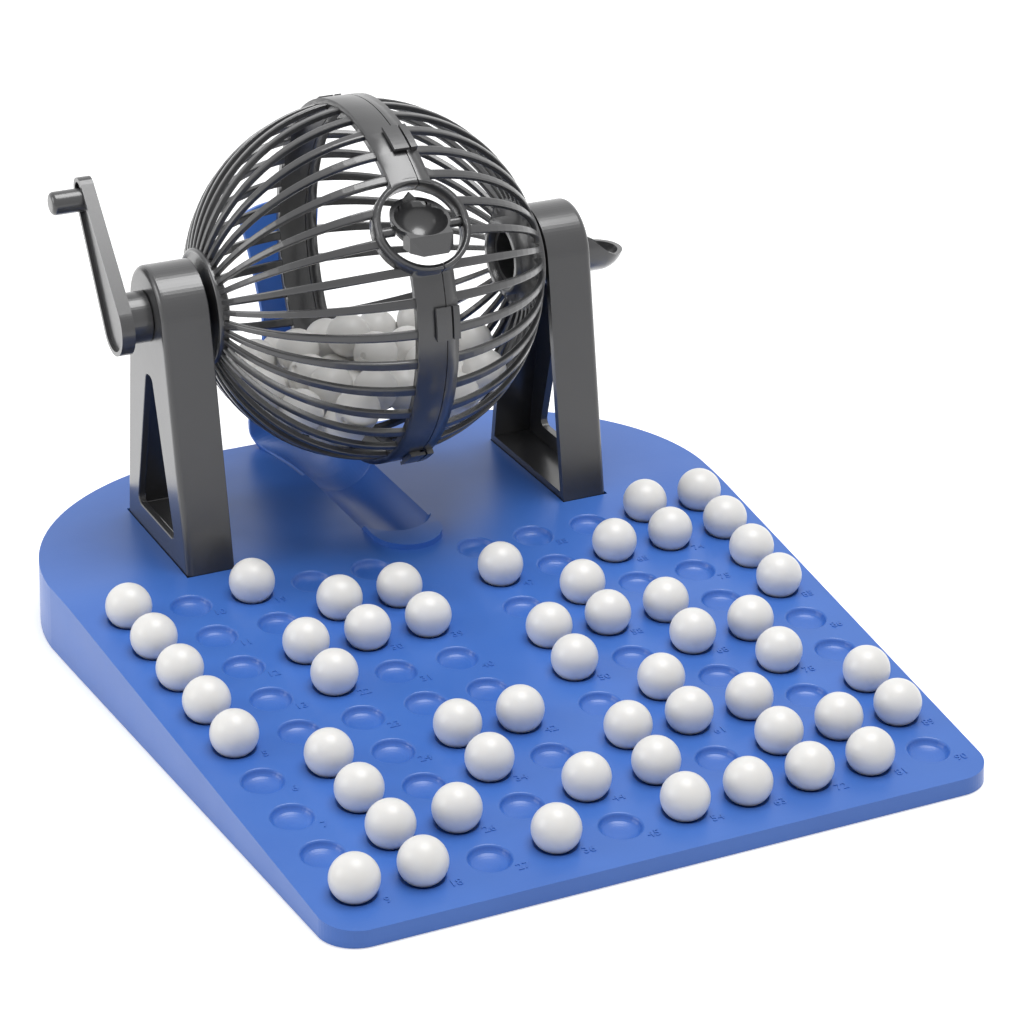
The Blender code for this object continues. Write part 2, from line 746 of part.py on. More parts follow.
def side_tabs(side, seam):
    """One half's share of the snap tabs. The crank side's hook over the spout side's strip."""
    root = BAND_RADIUS - BAND_THICKNESS / 2
    top = BAND_RADIUS + TAB_RISE
    if side > 0:
        ends = TAB_SPLIT_X + CLEARANCE / 2, TAB_RIGHT_X
        return [snap_tabs("tabs_spout", ends, (root, top), TAB_ANGLE)]
    hook_ends = TAB_LEFT_X, TAB_SPLIT_X - CLEARANCE / 2
    hooks = snap_tabs("tab_hooks", hook_ends, (BAND_RADIUS + CLEARANCE, top), TAB_ANGLE)
    foot_ends = TAB_LEFT_X + CLEARANCE, seam - CLEARANCE
    middle = BAND_RADIUS + TAB_RISE / 2
    feet = snap_tabs("tab_feet", foot_ends, (root, middle), TAB_ANGLE * TAB_FOOT_SHARE)
    return [feet, hooks]


def trunnion_hole(side):
    """Blind hole in the outlet ring's inner wall for one of the cup's pins."""
    ends = side * CUP_RADIUS, side * (RING_OUTER_RADIUS - RING_WALL / 4)
    centre = around(OUTLET_ANGLE, OUTLET_DISTANCE, 0).yz
    radius = TRUNNION_RADIUS + CLEARANCE
    label = "crank" if side < 0 else "spout"
    return rod(f"trunnion_hole_{label}", radius, *sorted(ends), sides=PIN_SIDES, centre=centre)


def polar_disc(side):
    """The dished disc and hub at one pole, with the socket or the loading hole in it."""
    label = "crank" if side < 0 else "spout"
    bore = SHAFT_RADIUS + CLEARANCE if side < 0 else BORE_RADIUS + SPOUT_WALL + CLEARANCE
    hub = bore + HUB_WALL
    thrust_face = STAND_INNER_X - CLEARANCE
    inside = DISC_FACE_X - HUB_LENGTH_INSIDE
    back = DISC_FACE_X - DISC_THICKNESS
    profile = [
        (bore, thrust_face),
        (hub, thrust_face),
        (hub, DISC_FACE_X),
        (DISC_RADIUS - DISC_RIM, DISC_FACE_X),
        (DISC_RADIUS - DISC_RIM / 2, DISC_FACE_X + DISC_RIM / 2),
        (DISC_RADIUS, DISC_FACE_X),
        (DISC_RADIUS, back),
        (hub, back),
        (hub, inside),
        (bore, inside),
    ]
    turn = Matrix.Rotation(side * math.pi / 2, 4, "Y")
    return turned(f"polar_disc_{label}", profile, ROUND_SIDES, AXLE_PLACE @ turn)


def make_cage():
    finished(cage_half(-1), "cage_half_crank", grey)
    finished(cage_half(1), "cage_half_spout", grey)


def make_cup():
    """The tipping cup: a bowl with a leaning mouth and a hollow beak, on two trunnions."""
    pivot = around(OUTLET_ANGLE, OUTLET_DISTANCE, 0)
    place = AXLE_PLACE @ Matrix.Translation(pivot)
    top = CUP_LIP_TOP + OVERRUN
    solid = turned("cup_outside", cup_profile(CUP_RADIUS, top), ROUND_SIDES, place)
    boolean(solid, beak_block("cup_beak", 0, place), "UNION")
    boolean(solid, mouth_cut(place), "DIFFERENCE")
    boolean(solid, lip_block(place), "UNION")
    forward = Matrix.Translation((0, -CUP_CAVITY_SHIFT, 0))
    inside = cup_profile(CUP_RADIUS - CUP_WALL, top + OVERRUN)
    boolean(solid, turned("cup_inside", inside, ROUND_SIDES, place @ forward), "DIFFERENCE")
    boolean(solid, beak_block("cup_beak_inside", CUP_WALL, place), "DIFFERENCE")
    reach = RING_OUTER_RADIUS - RING_WALL / 2
    for side, label in ((-1, "crank"), (1, "spout")):
        ends = sorted((side * (CUP_RADIUS - CUP_WALL / 2), side * reach))
        pin = rod(f"trunnion_{label}", TRUNNION_RADIUS, *ends, sides=PIN_SIDES, centre=pivot.yz)
        boolean(solid, pin, "UNION")
    return finished(solid, "outlet_cup", grey)


def cup_profile(radius, top):
    """Half section of the bowl: a straight side down from top, then a round bottom."""
    centre = CUP_RADIUS - CUP_BOTTOM_DROP
    profile = [(radius, top)]
    profile += [(radius * math.cos(t), centre - radius * math.sin(t)) for t in quarter(False)]
    return profile + [(0, centre - radius), (0, top)]


def mouth_height(y):
    """Height of the mouth, which leans down towards the front, above the trunnions."""
    return CUP_MOUTH_RISE + y * math.tan(CUP_MOUTH_LEAN)


def beak_block(name, inset, place):
    """A wedge whose flat face drops from the mouth to a straight front edge, or its hollow."""
    bm = bmesh.new()
    floor = CUP_WALL - CUP_BOTTOM_DROP + inset
    shoulder = inset - BEAK_SHOULDER_REACH
    over = mouth_height(-BEAK_SHOULDER_REACH) - inset
    tip = (1.5 * inset - BEAK_REACH, inset - BEAK_DROP, CUP_WALL - BEAK_DROP + inset / 2)
    corners = []
    for half, y, low, high in (
        (BEAK_ROOT_HALF_WIDTH, -BEAK_ROOT_REACH, floor, mouth_height(-BEAK_ROOT_REACH) - inset),
        (BEAK_ROOT_HALF_WIDTH, shoulder, floor, over),
        (BEAK_TIP_HALF_WIDTH, *tip),
    ):
        half -= inset
        corners.append([(-half, y, low), (half, y, low), (half, y, high), (-half, y, high)])
    rings = [[bm.verts.new(point) for point in ring] for ring in corners]
    for ring, following in zip(rings, rings[1:]):
        for index in range(4):
            after = (index + 1) % 4
            bm.faces.new((ring[index], ring[after], following[after], following[index]))
    bm.faces.new(rings[0])
    bm.faces.new(rings[-1])
    made = as_object(name, bm)
    made.matrix_world = place
    return made


def mouth_cut(place):
    """Trims the bowl and the beak to the leaning mouth."""
    far = 2 * CUP_RADIUS
    outline = [(-far, mouth_height(-far)), (far, mouth_height(far)), (far, 2 * far), (-far, 2 * far)]
    made = side_prism("cup_mouth_cut", outline, -far, far)
    made.matrix_world = place @ AXLE_PLACE.inverted() @ made.matrix_world
    return made


def lip_block(place):
    """The small pointed lip that stands up from the rear of the mouth."""
    bm = bmesh.new()
    outline = (
        (-CUP_LIP_HALF_WIDTH, CUP_LIP_FOOT),
        (CUP_LIP_HALF_WIDTH, CUP_LIP_FOOT),
        (0, CUP_LIP_TOP),
    )
    rear = math.sqrt(CUP_RADIUS**2 - CUP_LIP_HALF_WIDTH**2) - CLEARANCE / 2
    front = rear - CUP_LIP_THICKNESS
    rings = [[bm.verts.new((x, y, z)) for x, z in outline] for y in (front, rear)]
    for index in range(3):
        after = (index + 1) % 3
        bm.faces.new((rings[0][index], rings[0][after], rings[1][after], rings[1][index]))
    bm.faces.new(rings[0])
    bm.faces.new(rings[1])
    made = as_object("cup_lip", bm)
    made.matrix_world = place
    return made


def crank_arm_outline(inset):
    """Two circles joined by their outer tangents, from the hub to the knob end."""
    hub = CRANK_ARM_HUB_RADIUS - inset
    tip = CRANK_ARM_TIP_RADIUS - inset
    spread = math.acos((hub - tip) / (CRANK_ARM_LENGTH + CRANK_ARM_FOOT))
    outline = arc((0, CRANK_ARM_LENGTH), tip, math.pi / 2 - spread, math.pi / 2 + spread, 8)
    outline += arc((0, -CRANK_ARM_FOOT), hub, math.pi / 2 + spread, 2.5 * math.pi - spread, 16)
    lean = Matrix.Rotation(-CRANK_LEAN, 2)
    return [tuple(lean @ Vector(point)) for point in outline]


def make_crank():
    """The crank in one moulding: shaft, hub, dished arm and knob."""
    stand_face = -STAND_INNER_X - STAND_WIDTH
    hub_end = stand_face - CLEARANCE - CRANK_HUB_LENGTH
    arm_face = hub_end - CRANK_ARM_THICKNESS
    shaft_end = -DISC_FACE_X + HUB_LENGTH_INSIDE
    body = side_prism("crank_arm", crank_arm_outline(0), arm_face, hub_end)
    recess = side_prism(
        "crank_recess", crank_arm_outline(CRANK_RIM), arm_face - OVERRUN, arm_face + CRANK_RECESS
    )
    boolean(body, recess, "DIFFERENCE")
    overlap = CRANK_ARM_THICKNESS / 2
    hub = rod("crank_hub", CRANK_HUB_RADIUS, hub_end - overlap, stand_face - CLEARANCE)
    boolean(body, hub, "UNION")
    boolean(body, rod("crank_shaft", SHAFT_RADIUS, hub_end - overlap, shaft_end), "UNION")
    boolean(body, crank_knob(arm_face, overlap), "UNION")
    return finished(body, "crank_handle", grey)


def crank_knob(arm_face, overlap):
    """The knob at the arm's end, rounded at its tip and sunk into the arm by overlap."""
    across = KNOB_REACH * math.sin(CRANK_LEAN)
    up = KNOB_REACH * math.cos(CRANK_LEAN)
    top = KNOB_LENGTH - arm_face
    flat = KNOB_RADIUS - KNOB_FILLET
    profile = [(0, top), (flat, top)]
    for t in quarter(True):
        profile.append((flat + KNOB_FILLET * math.cos(t), top - KNOB_FILLET * (1 - math.sin(t))))
    profile += [(KNOB_RADIUS, -arm_face - overlap), (0, -arm_face - overlap)]
    place = AXLE_PLACE @ Matrix.Translation((0, across, up))
    turn = Matrix.Rotation(-math.pi / 2, 4, "Y")
    return turned("crank_knob", profile, ROUND_SIDES, place @ turn)


def make_balls():
    """One ball in each occupied dimple, seated with a small gap."""
    radius = BALL_DIAMETER / 2
    bm = bmesh.new()
    bmesh.ops.create_uvsphere(bm, u_segments=8, v_segments=5, radius=radius)
    mesh = bpy.data.meshes.new("ball")
    bm.to_mesh(mesh)
    bm.free()
    mesh.materials.append(white)
    mesh.shade_smooth()
    square = Matrix.Rotation(SLOPE_ANGLE, 4, "X")
    rise = square @ Vector((0, 0, ball_rise(radius)))
    for column, drawn in enumerate(DRAWN_ROWS):
        for row in drawn:
            ball = bpy.data.objects.new(f"ball_column_{column + 1}_row_{row + 1}", mesh)
            ball.location = dimple_place(column, row) + rise
            parts.objects.link(ball)


def ball_rise(radius):
    """Height of a ball's centre above the top, BALL_GAP clear of the dimple's sloping side."""
    slope = math.atan2(DIMPLE_DEPTH, DIMPLE_RADIUS - DIMPLE_FLOOR_RADIUS)
    above_floor = (radius + BALL_GAP - DIMPLE_FLOOR_RADIUS * math.sin(slope)) / math.cos(slope)
    return above_floor - DIMPLE_DEPTH


clear_scene()
parts = new_collection("bingo_game")
cutters = new_collection("cutters")
blue = new_material("blue_plastic", (0.075, 0.19, 0.62), 0.38)
grey = new_material("dark_grey_plastic", (0.075, 0.075, 0.08), 0.35)
white = new_material("white_plastic", (0.82, 0.81, 0.79), 0.4)
AXLE_PLACE = Matrix.Translation((0, AXLE_Y, AXLE_HEIGHT))
make_tray()
make_slide()
make_crank_stand()
make_spout_stand()
make_cage()
make_cup()
make_crank()
make_balls()
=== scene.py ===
"""Bingo game: the looks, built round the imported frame. Metres, in the part's own frame.

+X runs along the cage's axle from the crank to the loading spout, +Y to the rear and +Z up.
"""

import json
import math

import bmesh
import bpy
import numpy as np
from mathutils import Matrix, Vector


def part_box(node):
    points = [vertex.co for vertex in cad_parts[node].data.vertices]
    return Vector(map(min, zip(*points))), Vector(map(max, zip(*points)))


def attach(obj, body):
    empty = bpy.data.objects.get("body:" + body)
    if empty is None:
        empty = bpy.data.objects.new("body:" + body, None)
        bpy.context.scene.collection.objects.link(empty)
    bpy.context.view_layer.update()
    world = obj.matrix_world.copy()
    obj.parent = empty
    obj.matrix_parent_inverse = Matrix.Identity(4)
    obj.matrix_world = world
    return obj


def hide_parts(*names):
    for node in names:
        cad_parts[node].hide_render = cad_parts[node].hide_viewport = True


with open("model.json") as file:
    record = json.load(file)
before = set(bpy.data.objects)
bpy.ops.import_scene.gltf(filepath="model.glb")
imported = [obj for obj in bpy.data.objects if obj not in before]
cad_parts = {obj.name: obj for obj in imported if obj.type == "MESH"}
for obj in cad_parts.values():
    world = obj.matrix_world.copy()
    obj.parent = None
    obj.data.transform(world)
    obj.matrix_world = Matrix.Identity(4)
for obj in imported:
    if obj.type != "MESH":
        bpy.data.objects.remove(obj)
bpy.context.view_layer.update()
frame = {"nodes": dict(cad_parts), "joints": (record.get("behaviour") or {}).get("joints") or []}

joints = {joint["name"]: joint for joint in frame["joints"]}
AXLE = Vector(joints["cage_spin"]["pos_m"])
PIVOT = Vector(joints["cup_tilt"]["pos_m"])
AXLE_PLACE = Matrix.Translation(AXLE)
OVERRUN = 0.002  # how far a cutter runs past the face it opens
CLEARANCE = 0.0003  # gap between pieces that meet

# Balls and the grid of dimples
BALL_RADIUS = 0.0075
COLUMNS = 10
ROWS = 9
COLUMN_PITCH = 0.0211
ROW_PITCH = 0.02046
COLUMN_FAN = 0.00109
DIMPLE_DEPTH = 0.0028
DIMPLE_RADIUS = 0.0066
# From a dimple's middle out: radius and depth
DIMPLE_SHARES = (
    (0.16, 1.0), (0.34, 0.97), (0.52, 0.91), (0.68, 0.82), (0.8, 0.7), (0.88, 0.54), (0.935, 0.36),
    (0.97, 0.2), (1.0, 0.1), (1.035, 0.035), (1.08, -0.01),
)
BALLS_IN_GAME = 90
PIT_RADIUS = 0.0013
PIT_DEPTH = 0.0009
PIT_FLOOR_SHARE = 0.85
NUMBER_SIZE = 0.0042
NUMBER_RISE = 0.0001
NUMBER_BEVEL = 0.00004
NUMBER_OFFSET = (0.0072, -0.0085, 0.0001)

# Base tray
SLOPE_ANGLE = math.radians(4.76)
FRONT_ROW_Y = -0.1358
FRONT_ROW_Z = 0.007
DECK_HEIGHT = 0.022
FRONT_MARGIN = 0.018
SIDE_MARGIN = 0.015
CORNER_RADIUS = 0.012
REAR_ROUND_START = 0.193
REAR_ROUND_DEPTH = 0.0795
REAR_ROUND_WIDTH = 0.0855
TRAY_WALL = 0.002
TRAY_PLATE = 0.004
TRAY_EDGE_FILLET = 0.0022
TRAY_DRAFT = math.radians(2)
CREASE_REACH = 0.01
CREASE_STRIPS = 8

# Chute groove and slide
GROOVE_OFFSET = 0.0015
GROOVE_HALF_WIDTH = 0.0125
GROOVE_DEPTH = 0.0085
GROOVE_FLOOR = 0.0042
GROOVE_ARC_SHARE = 0.93
GROOVE_FRONT = 0.193
GROOVE_REAR = 0.25
LANDING_RADIUS = 0.0123
LANDING_FRONT = 0.1693
LANDING_REAR = 0.2
LANDING_DEPTH = 0.0004
LANDING_RAMP = 0.0012
SLIDE_THICKNESS = 0.0018
SLIDE_TONGUE = 0.01
SLIDE_RUN = 0.049
SLIDE_RISE = 0.0844
SLIDE_HALF_WIDTH = 0.0196
SLIDE_BED_REACH = 0.4
# Along the slide's middle: run and rise. Along its edge: half width, run and rise.
SLIDE_MIDDLE_SHARES = (
    (0.0, -0.1), (0.204, -0.084), (0.368, -0.047), (0.499, 0.002), (0.602, 0.063), (0.677, 0.145),
    (0.736, 0.265), (0.784, 0.41), (0.829, 0.554), (0.884, 0.711), (0.944, 0.867), (1.0, 1.0),
)
SLIDE_EDGE_SHARES = (
    (0.63, 0.0, 0.0), (0.65, 0.204, 0.0), (0.73, 0.368, 0.005), (0.842, 0.499, 0.012),
    (0.949, 0.602, 0.031), (1.0, 0.648, 0.078), (0.893, 0.684, 0.193), (0.653, 0.726, 0.349),
    (0.52, 0.773, 0.494), (0.57, 0.829, 0.663), (0.66, 0.888, 0.831), (0.76, 0.944, 0.964),
)

# Stands
STAND_INNER_X = 0.0606
STAND_WIDTH = 0.0164
STAND_HEAD_RADIUS = 0.0165
STAND_FOOT_HALF_LENGTH = 0.0295
STAND_WALL = 0.0025
STAND_EDGE_FILLET = 0.002
STAND_SEAT_DEPTH = 0.0025
WINDOW_TOP_DROP = 0.021
WINDOW_BOTTOM_DROP = 0.0735
WINDOW_HALF_WIDTH = 0.0178
WINDOW_TOP_HALF_WIDTH = 0.0028
WINDOW_FILLET = 0.0025
BEARING_WALL = 0.0035

# Cage
CAGE_RADIUS = 0.0604
RIB_THICKNESS = 0.002
RIB_WIDTH_AT_BAND = 0.0031
RIB_WIDTH_AT_HUB = 0.0016
RIBS = 36
RIB_PHASE = math.radians(2.5)
RIB_ROUNDING = 0.2
BAND_RADIUS = 0.0616
BAND_THICKNESS = 0.0038
BAND_HALF_WIDTH = 0.0068
SEAM_X = 0.00275
SEAM_GROOVE_WIDTH = 0.0011
SEAM_GROOVE_DEPTH = 0.001
DISC_RADIUS = 0.0194
DISC_FACE_X = 0.0578
DISC_THICKNESS = 0.0025
DISC_RIM = 0.0016
HUB_LENGTH_INSIDE = 0.007
HUB_WALL = 0.003
TABS = 6
TAB_PHASE = math.radians(5.5)
TAB_ANGLE = math.radians(10)
TAB_RISE = 0.0018
TAB_LEFT_X = -0.0015
TAB_SPLIT_X = 0.004
TAB_RIGHT_X = 0.0066
TAB_GAP = 0.0007
TAB_FOOT_SHARE = 0.8
OUTLET_TILT = math.radians(41)
RING_OUTER_RADIUS = 0.0161
RING_WALL = 0.0021
RING_HEIGHT = 0.0056

# Outlet cup
TRUNNION_RADIUS = 0.0016
CUP_RADIUS = 0.0098
CUP_WALL = 0.0011
CUP_CAVITY_SHIFT = 0.0008
CUP_MOUTH_RISE = 0.0035
CUP_MOUTH_LEAN = math.radians(20)
CUP_BOTTOM_DROP = 0.0058
CUP_LIP_TOP = 0.0092
CUP_LIP_FOOT = 0.006
CUP_LIP_HALF_WIDTH = 0.003
CUP_LIP_THICKNESS = 0.0009
BEAK_ROOT_REACH = 0.0033
BEAK_SHOULDER_REACH = 0.0088
BEAK_REACH = 0.0122
BEAK_DROP = 0.0052
BEAK_TIP_HALF_WIDTH = 0.0043
BEAK_ROOT_HALF_WIDTH = 0.0075

# Crank
SHAFT_RADIUS = 0.0047
CRANK_HUB_RADIUS = 0.0085
CRANK_HUB_LENGTH = 0.007
CRANK_ARM_THICKNESS = 0.0045
CRANK_ARM_HUB_RADIUS = 0.0096
CRANK_ARM_TIP_RADIUS = 0.0045
CRANK_ARM_LENGTH = 0.045
CRANK_ARM_FOOT = 0.002
CRANK_LEAN = math.radians(37)
CRANK_RIM = 0.0015
CRANK_RECESS = 0.0012
KNOB_REACH = 0.042
KNOB_RADIUS = 0.0039
KNOB_LENGTH = 0.0102
KNOB_FILLET = 0.0015

# Loading spout
BORE_RADIUS = 0.0084
SPOUT_WALL = 0.0016
SPOUT_LENGTH = 0.0195
SPOUT_TUBE_REACH = 0.0075
# Out along the scoop's rim: reach beyond the stand, and height over the axle
SPOUT_RIM_SHARES = ((0.03, 0.73), (0.2, 0.4), (0.36, 0.16), (0.53, -0.12), (0.7, -0.28))

# Settling of the balls in the cage
PILE_SEED = 2
PILE_TURN_SEED = 11
PILE_TURNS = 1500
PILE_SHAKEN_SHARE = 0.85
PILE_SHAKE = 0.0012
PILE_DROP = 0.0006
PILE_LAST_DROP = 0.00002
PILE_PUSHES = 6
PILE_BALL_GAP = 0.0001
PILE_CAGE_GAP = 0.0004
RING_PATH_RADIUS = 0.0582
RING_PATH_KEEP = 0.0214

# Fineness of the looks
ROUND_SIDES = 64
NOSE_STEPS = 12
FILLET_STEPS = 5
ROUNDED_STEPS = 8
CORNER_STEPS = 14
REAR_STEPS = 40
LANDING_STEPS = 24
SLIDE_STRIPS = 24
SLIDE_BED_STRIPS = 16
SLIDE_STATION_STEPS = 4
STAND_HEAD_STEPS = 40
DIMPLE_SIDES = 32
BAND_SIDES = 108
RIB_STEPS = 18
RIB_CORNER_STEPS = 2
DISC_RIM_STEPS = 6
TAB_STEPS = 6
RING_SIDES = 56
PIN_SIDES = 24
ARM_TIP_STEPS = 16
ARM_HUB_STEPS = 40
KNOB_SIDES = 40
KNOB_STEPS = 6
BALL_SIDES = 40
BALL_STEPS = 24
SOFT_EDGE = 0.0003
SOFT_STAND_EDGE = 0.00035
SOFT_SLIDE_EDGE = 0.0004
SOFT_CRANK_EDGE = 0.0004
SMOOTH_ANGLE = math.radians(38)
BEVEL_ANGLE = math.radians(28)
QUARTER = math.pi / 2

# Finishes: the darker and the lighter shade of each clouded colour, in linear light
BLUE_SHADES = ((0.041, 0.144, 0.515), (0.049, 0.163, 0.555))
GREY_SHADES = ((0.03, 0.03, 0.032), (0.038, 0.038, 0.04))
WHITE_SHADES = ((0.8, 0.79, 0.77), (0.84, 0.83, 0.81))
FLOOR_SHADES = ((0.88, 0.88, 0.88), (0.9, 0.9, 0.9))
NOISE_LOW = 0.3
NOISE_HIGH = 0.7
CLOUD_SCALE = 28.0
WEAR_SCALE = 60.0
WEAR_BELOW = 0.02
WEAR_ABOVE = 0.03
GRAIN_SCALE = 1600.0
GRAIN_HEIGHT = 0.0001
COAT_ROUGHNESS = 0.2
BALL_SUBSURFACE = 0.15
BALL_SUBSURFACE_RADIUS = (1.0, 0.9, 0.8)
BALL_SUBSURFACE_SCALE = 0.001

# Studio
FLOOR_SIZE = 6
FLOOR_Z = -0.0003
FLOOR_CLOUD_SCALE = 3.0
FLOOR_ROUGHNESS = 0.6
FLOOR_GLOW = 0.45
WORLD_LIGHT = 0.42
LIGHT_TARGET = (0, 0, 0.05)
CAMERA_LENS = 112.7
CAMERA_SENSOR = 36
CAMERA_CLIP_START = 0.01
CAMERA_PLACE = (-0.3886, -0.8528, 0.4843)
CAMERA_TURN = (math.radians(65.08), 0, math.radians(-25.56))


# Materials

def new_material(name):
    """A material with its node tree and its shader."""
    material = bpy.data.materials.new(name)
    material.use_nodes = True
    tree = material.node_tree
    return material, tree, tree.nodes["Principled BSDF"]


def noise(tree, place, scale, detail=3.0):
    """A noise over a place, in the object's own metres."""
    node = tree.nodes.new("ShaderNodeTexNoise")
    node.inputs["Scale"].default_value = scale
    node.inputs["Detail"].default_value = detail
    tree.links.new(place, node.inputs["Vector"])
    return node.outputs["Fac"]


def spread(tree, value, low, high):
    """Maps a noise from its usual reach to one from low to high."""
    node = tree.nodes.new("ShaderNodeMapRange")
    node.inputs["From Min"].default_value = NOISE_LOW
    node.inputs["From Max"].default_value = NOISE_HIGH
    node.inputs["To Min"].default_value = low
    node.inputs["To Max"].default_value = high
    tree.links.new(value, node.inputs["Value"])
    return node.outputs["Result"]


def mixed(tree, factor, first, second):
    """A colour between two, by a factor."""
    node = tree.nodes.new("ShaderNodeMix")
    node.data_type = "RGBA"
    node.inputs[6].default_value = (*first, 1)
    node.inputs[7].default_value = (*second, 1)
    tree.links.new(factor, node.inputs[0])
    return node.outputs[2]


def plastic(name, dark, light, roughness, grain, coat=0.0):
    """Moulded plastic: clouded colour, uneven sheen and a fine moulded grain."""
    material, tree, shader = new_material(name)
    place = tree.nodes.new("ShaderNodeTexCoord").outputs["Object"]
    clouds = spread(tree, noise(tree, place, CLOUD_SCALE), 0.0, 1.0)
    tree.links.new(mixed(tree, clouds, dark, light), shader.inputs["Base Color"])
    wear = noise(tree, place, WEAR_SCALE)
    uneven = spread(tree, wear, roughness - WEAR_BELOW, roughness + WEAR_ABOVE)
    tree.links.new(uneven, shader.inputs["Roughness"])
    bump = tree.nodes.new("ShaderNodeBump")
    bump.inputs["Strength"].default_value = grain
    bump.inputs["Distance"].default_value = GRAIN_HEIGHT
    tree.links.new(noise(tree, place, GRAIN_SCALE, 2.0), bump.inputs["Height"])
    tree.links.new(bump.outputs["Normal"], shader.inputs["Normal"])
    shader.inputs["Coat Weight"].default_value = coat
    shader.inputs["Coat Roughness"].default_value = COAT_ROUGHNESS
    return material


blue = plastic("blue_plastic_finish", *BLUE_SHADES, roughness=0.32, grain=0.2)
grey = plastic("dark_grey_plastic_finish", *GREY_SHADES, roughness=0.3, grain=0.25, coat=0.8)
white = plastic("white_plastic_finish", *WHITE_SHADES, roughness=0.33, grain=0.12)
white_shader = white.node_tree.nodes["Principled BSDF"]
white_shader.inputs["Subsurface Weight"].default_value = BALL_SUBSURFACE
white_shader.inputs["Subsurface Radius"].default_value = BALL_SUBSURFACE_RADIUS
white_shader.inputs["Subsurface Scale"].default_value = BALL_SUBSURFACE_SCALE


# Building tools

construction = []


def linked(name, data):
    """A new object in the scene."""
    made = bpy.data.objects.new(name, data)
    bpy.context.scene.collection.objects.link(made)
    return made


def keep(name, mesh, place=None):
    """A construction object, removed at the end."""
    made = linked(name, mesh)
    if place is not None:
        made.matrix_world = place
    construction.append(made)
    return made


def as_object(name, bm, place=None):
    """A construction object from a bmesh, with its normals turned out."""
    bmesh.ops.recalc_face_normals(bm, faces=bm.faces)
    mesh = bpy.data.meshes.new(name)
    bm.to_mesh(mesh)
    bm.free()
    return keep(name, mesh, place)


def boolean(target, other, operation):
    """Adds another construction object to the target, or cuts it out."""
    modifier = target.modifiers.new(operation.lower(), "BOOLEAN")
    modifier.operation = operation
    modifier.solver = "EXACT"
    modifier.object = other


def soften(obj, width=SOFT_EDGE, segments=2):
    """Rounds every sharp edge of a construction object a little."""
    modifier = obj.modifiers.new("soft_edges", "BEVEL")
    modifier.width = width
    modifier.segments = segments
    modifier.limit_method = "ANGLE"
    modifier.angle_limit = BEVEL_ANGLE
    modifier.miter_outer = "MITER_ARC"


def finished(obj, name, body, material, *nodes):
    """Turns a construction object into a visible piece that stands for CAD nodes."""
    weighted = obj.modifiers.new("weighted", "WEIGHTED_NORMAL")
    weighted.keep_sharp = True
    graph = bpy.context.evaluated_depsgraph_get()
    obj.data.shade_smooth()
    mesh = bpy.data.meshes.new_from_object(obj.evaluated_get(graph))
    mesh.name = name
    mesh.transform(obj.matrix_world)
    mesh.materials.clear()
    mesh.materials.append(material)
    for polygon in mesh.polygons:
        polygon.material_index = 0
    return dressed(linked(name, mesh), body, material, *nodes)


def dressed(piece, body, material, *nodes):
    """Gives a visible piece its body and the CAD nodes that it stands for."""
    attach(piece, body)
    if nodes:
        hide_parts(*nodes)
    return piece


def raise_faces(bm, faces, height):
    """Extrudes faces straight up into a closed solid."""
    raised = bmesh.ops.extrude_face_region(bm, geom=faces, use_keep_orig=True)
    upper = [item for item in raised["geom"] if isinstance(item, bmesh.types.BMVert)]
    bmesh.ops.translate(bm, verts=upper, vec=(0, 0, height))


def round_edges(bm, edges, radius):
    """Rounds chosen edges of a bmesh."""
    bmesh.ops.bevel(
        bm, geom=edges, offset=radius, segments=FILLET_STEPS, profile=0.5, affect="EDGES"
    )


def join_rings(bm, rings):
    """The skin between rings of vertices, one after the other."""
    for lower, upper in zip(rings, rings[1:]):
        for index in range(len(lower)):
            after = (index + 1) % len(lower)
            bm.faces.new((lower[index], lower[after], upper[after], upper[index]))


def join_closed(bm, rings):
    """The skin between rings of vertices, with a face on either end."""
    join_rings(bm, rings)
    bm.faces.new(rings[0])
    bm.faces.new(rings[-1])


def prism(name, outline, bottom, top, place=None):
    """An outline of (x, y) points, raised along Z."""
    bm = bmesh.new()
    face = bm.faces.new([bm.verts.new((x, y, bottom)) for x, y in outline])
    raise_faces(bm, [face], top - bottom)
    return as_object(name, bm, place)


SIDEWAYS = Matrix(((0, 0, 1, 0), (1, 0, 0, 0), (0, 1, 0, 0), (0, 0, 0, 1)))
ALONG_X = Matrix.Rotation(QUARTER, 4, "Y")


def side_prism(name, outline, start_x, end_x):
    """An outline of (y, z) points about the axle, raised along X."""
    return prism(name, outline, *sorted((start_x, end_x)), AXLE_PLACE @ SIDEWAYS)


def rod(name, radius, start_x, end_x, centre=AXLE, sides=ROUND_SIDES):
    """A round rod along X through a centre."""
    bm = bmesh.new()
    size = {"radius1": radius, "radius2": radius, "depth": abs(end_x - start_x)}
    bmesh.ops.create_cone(bm, cap_ends=True, segments=sides, **size)
    middle = Matrix.Translation((centre.x + (start_x + end_x) / 2, centre.y, centre.z))
    return as_object(name, bm, middle @ ALONG_X)


def turned(name, profile, place, sides=ROUND_SIDES):
    """A turned form from (radius, height) points, down the outer side and up the inner."""
    bm = bmesh.new()
    points = [bm.verts.new((radius, 0, height)) for radius, height in profile]
    for first, second in zip(points, points[1:] + points[:1]):
        if first.co.x + second.co.x > 0:
            bm.edges.new((first, second))
    mesh = bpy.data.meshes.new(name)
    bm.to_mesh(mesh)
    bm.free()
    made = keep(name, mesh, place)
    screw = made.modifiers.new("turn", "SCREW")
    screw.steps = sides
    screw.render_steps = sides
    screw.use_merge_vertices = True
    screw.merge_threshold = 1e-6
    return made


def arc(centre, radius, start, end, steps):
    """Points round an arc, with both its ends."""
    turns = [start + (end - start) * step / steps for step in range(steps + 1)]
    return [(centre[0] + radius * math.cos(t), centre[1] + radius * math.sin(t)) for t in turns]


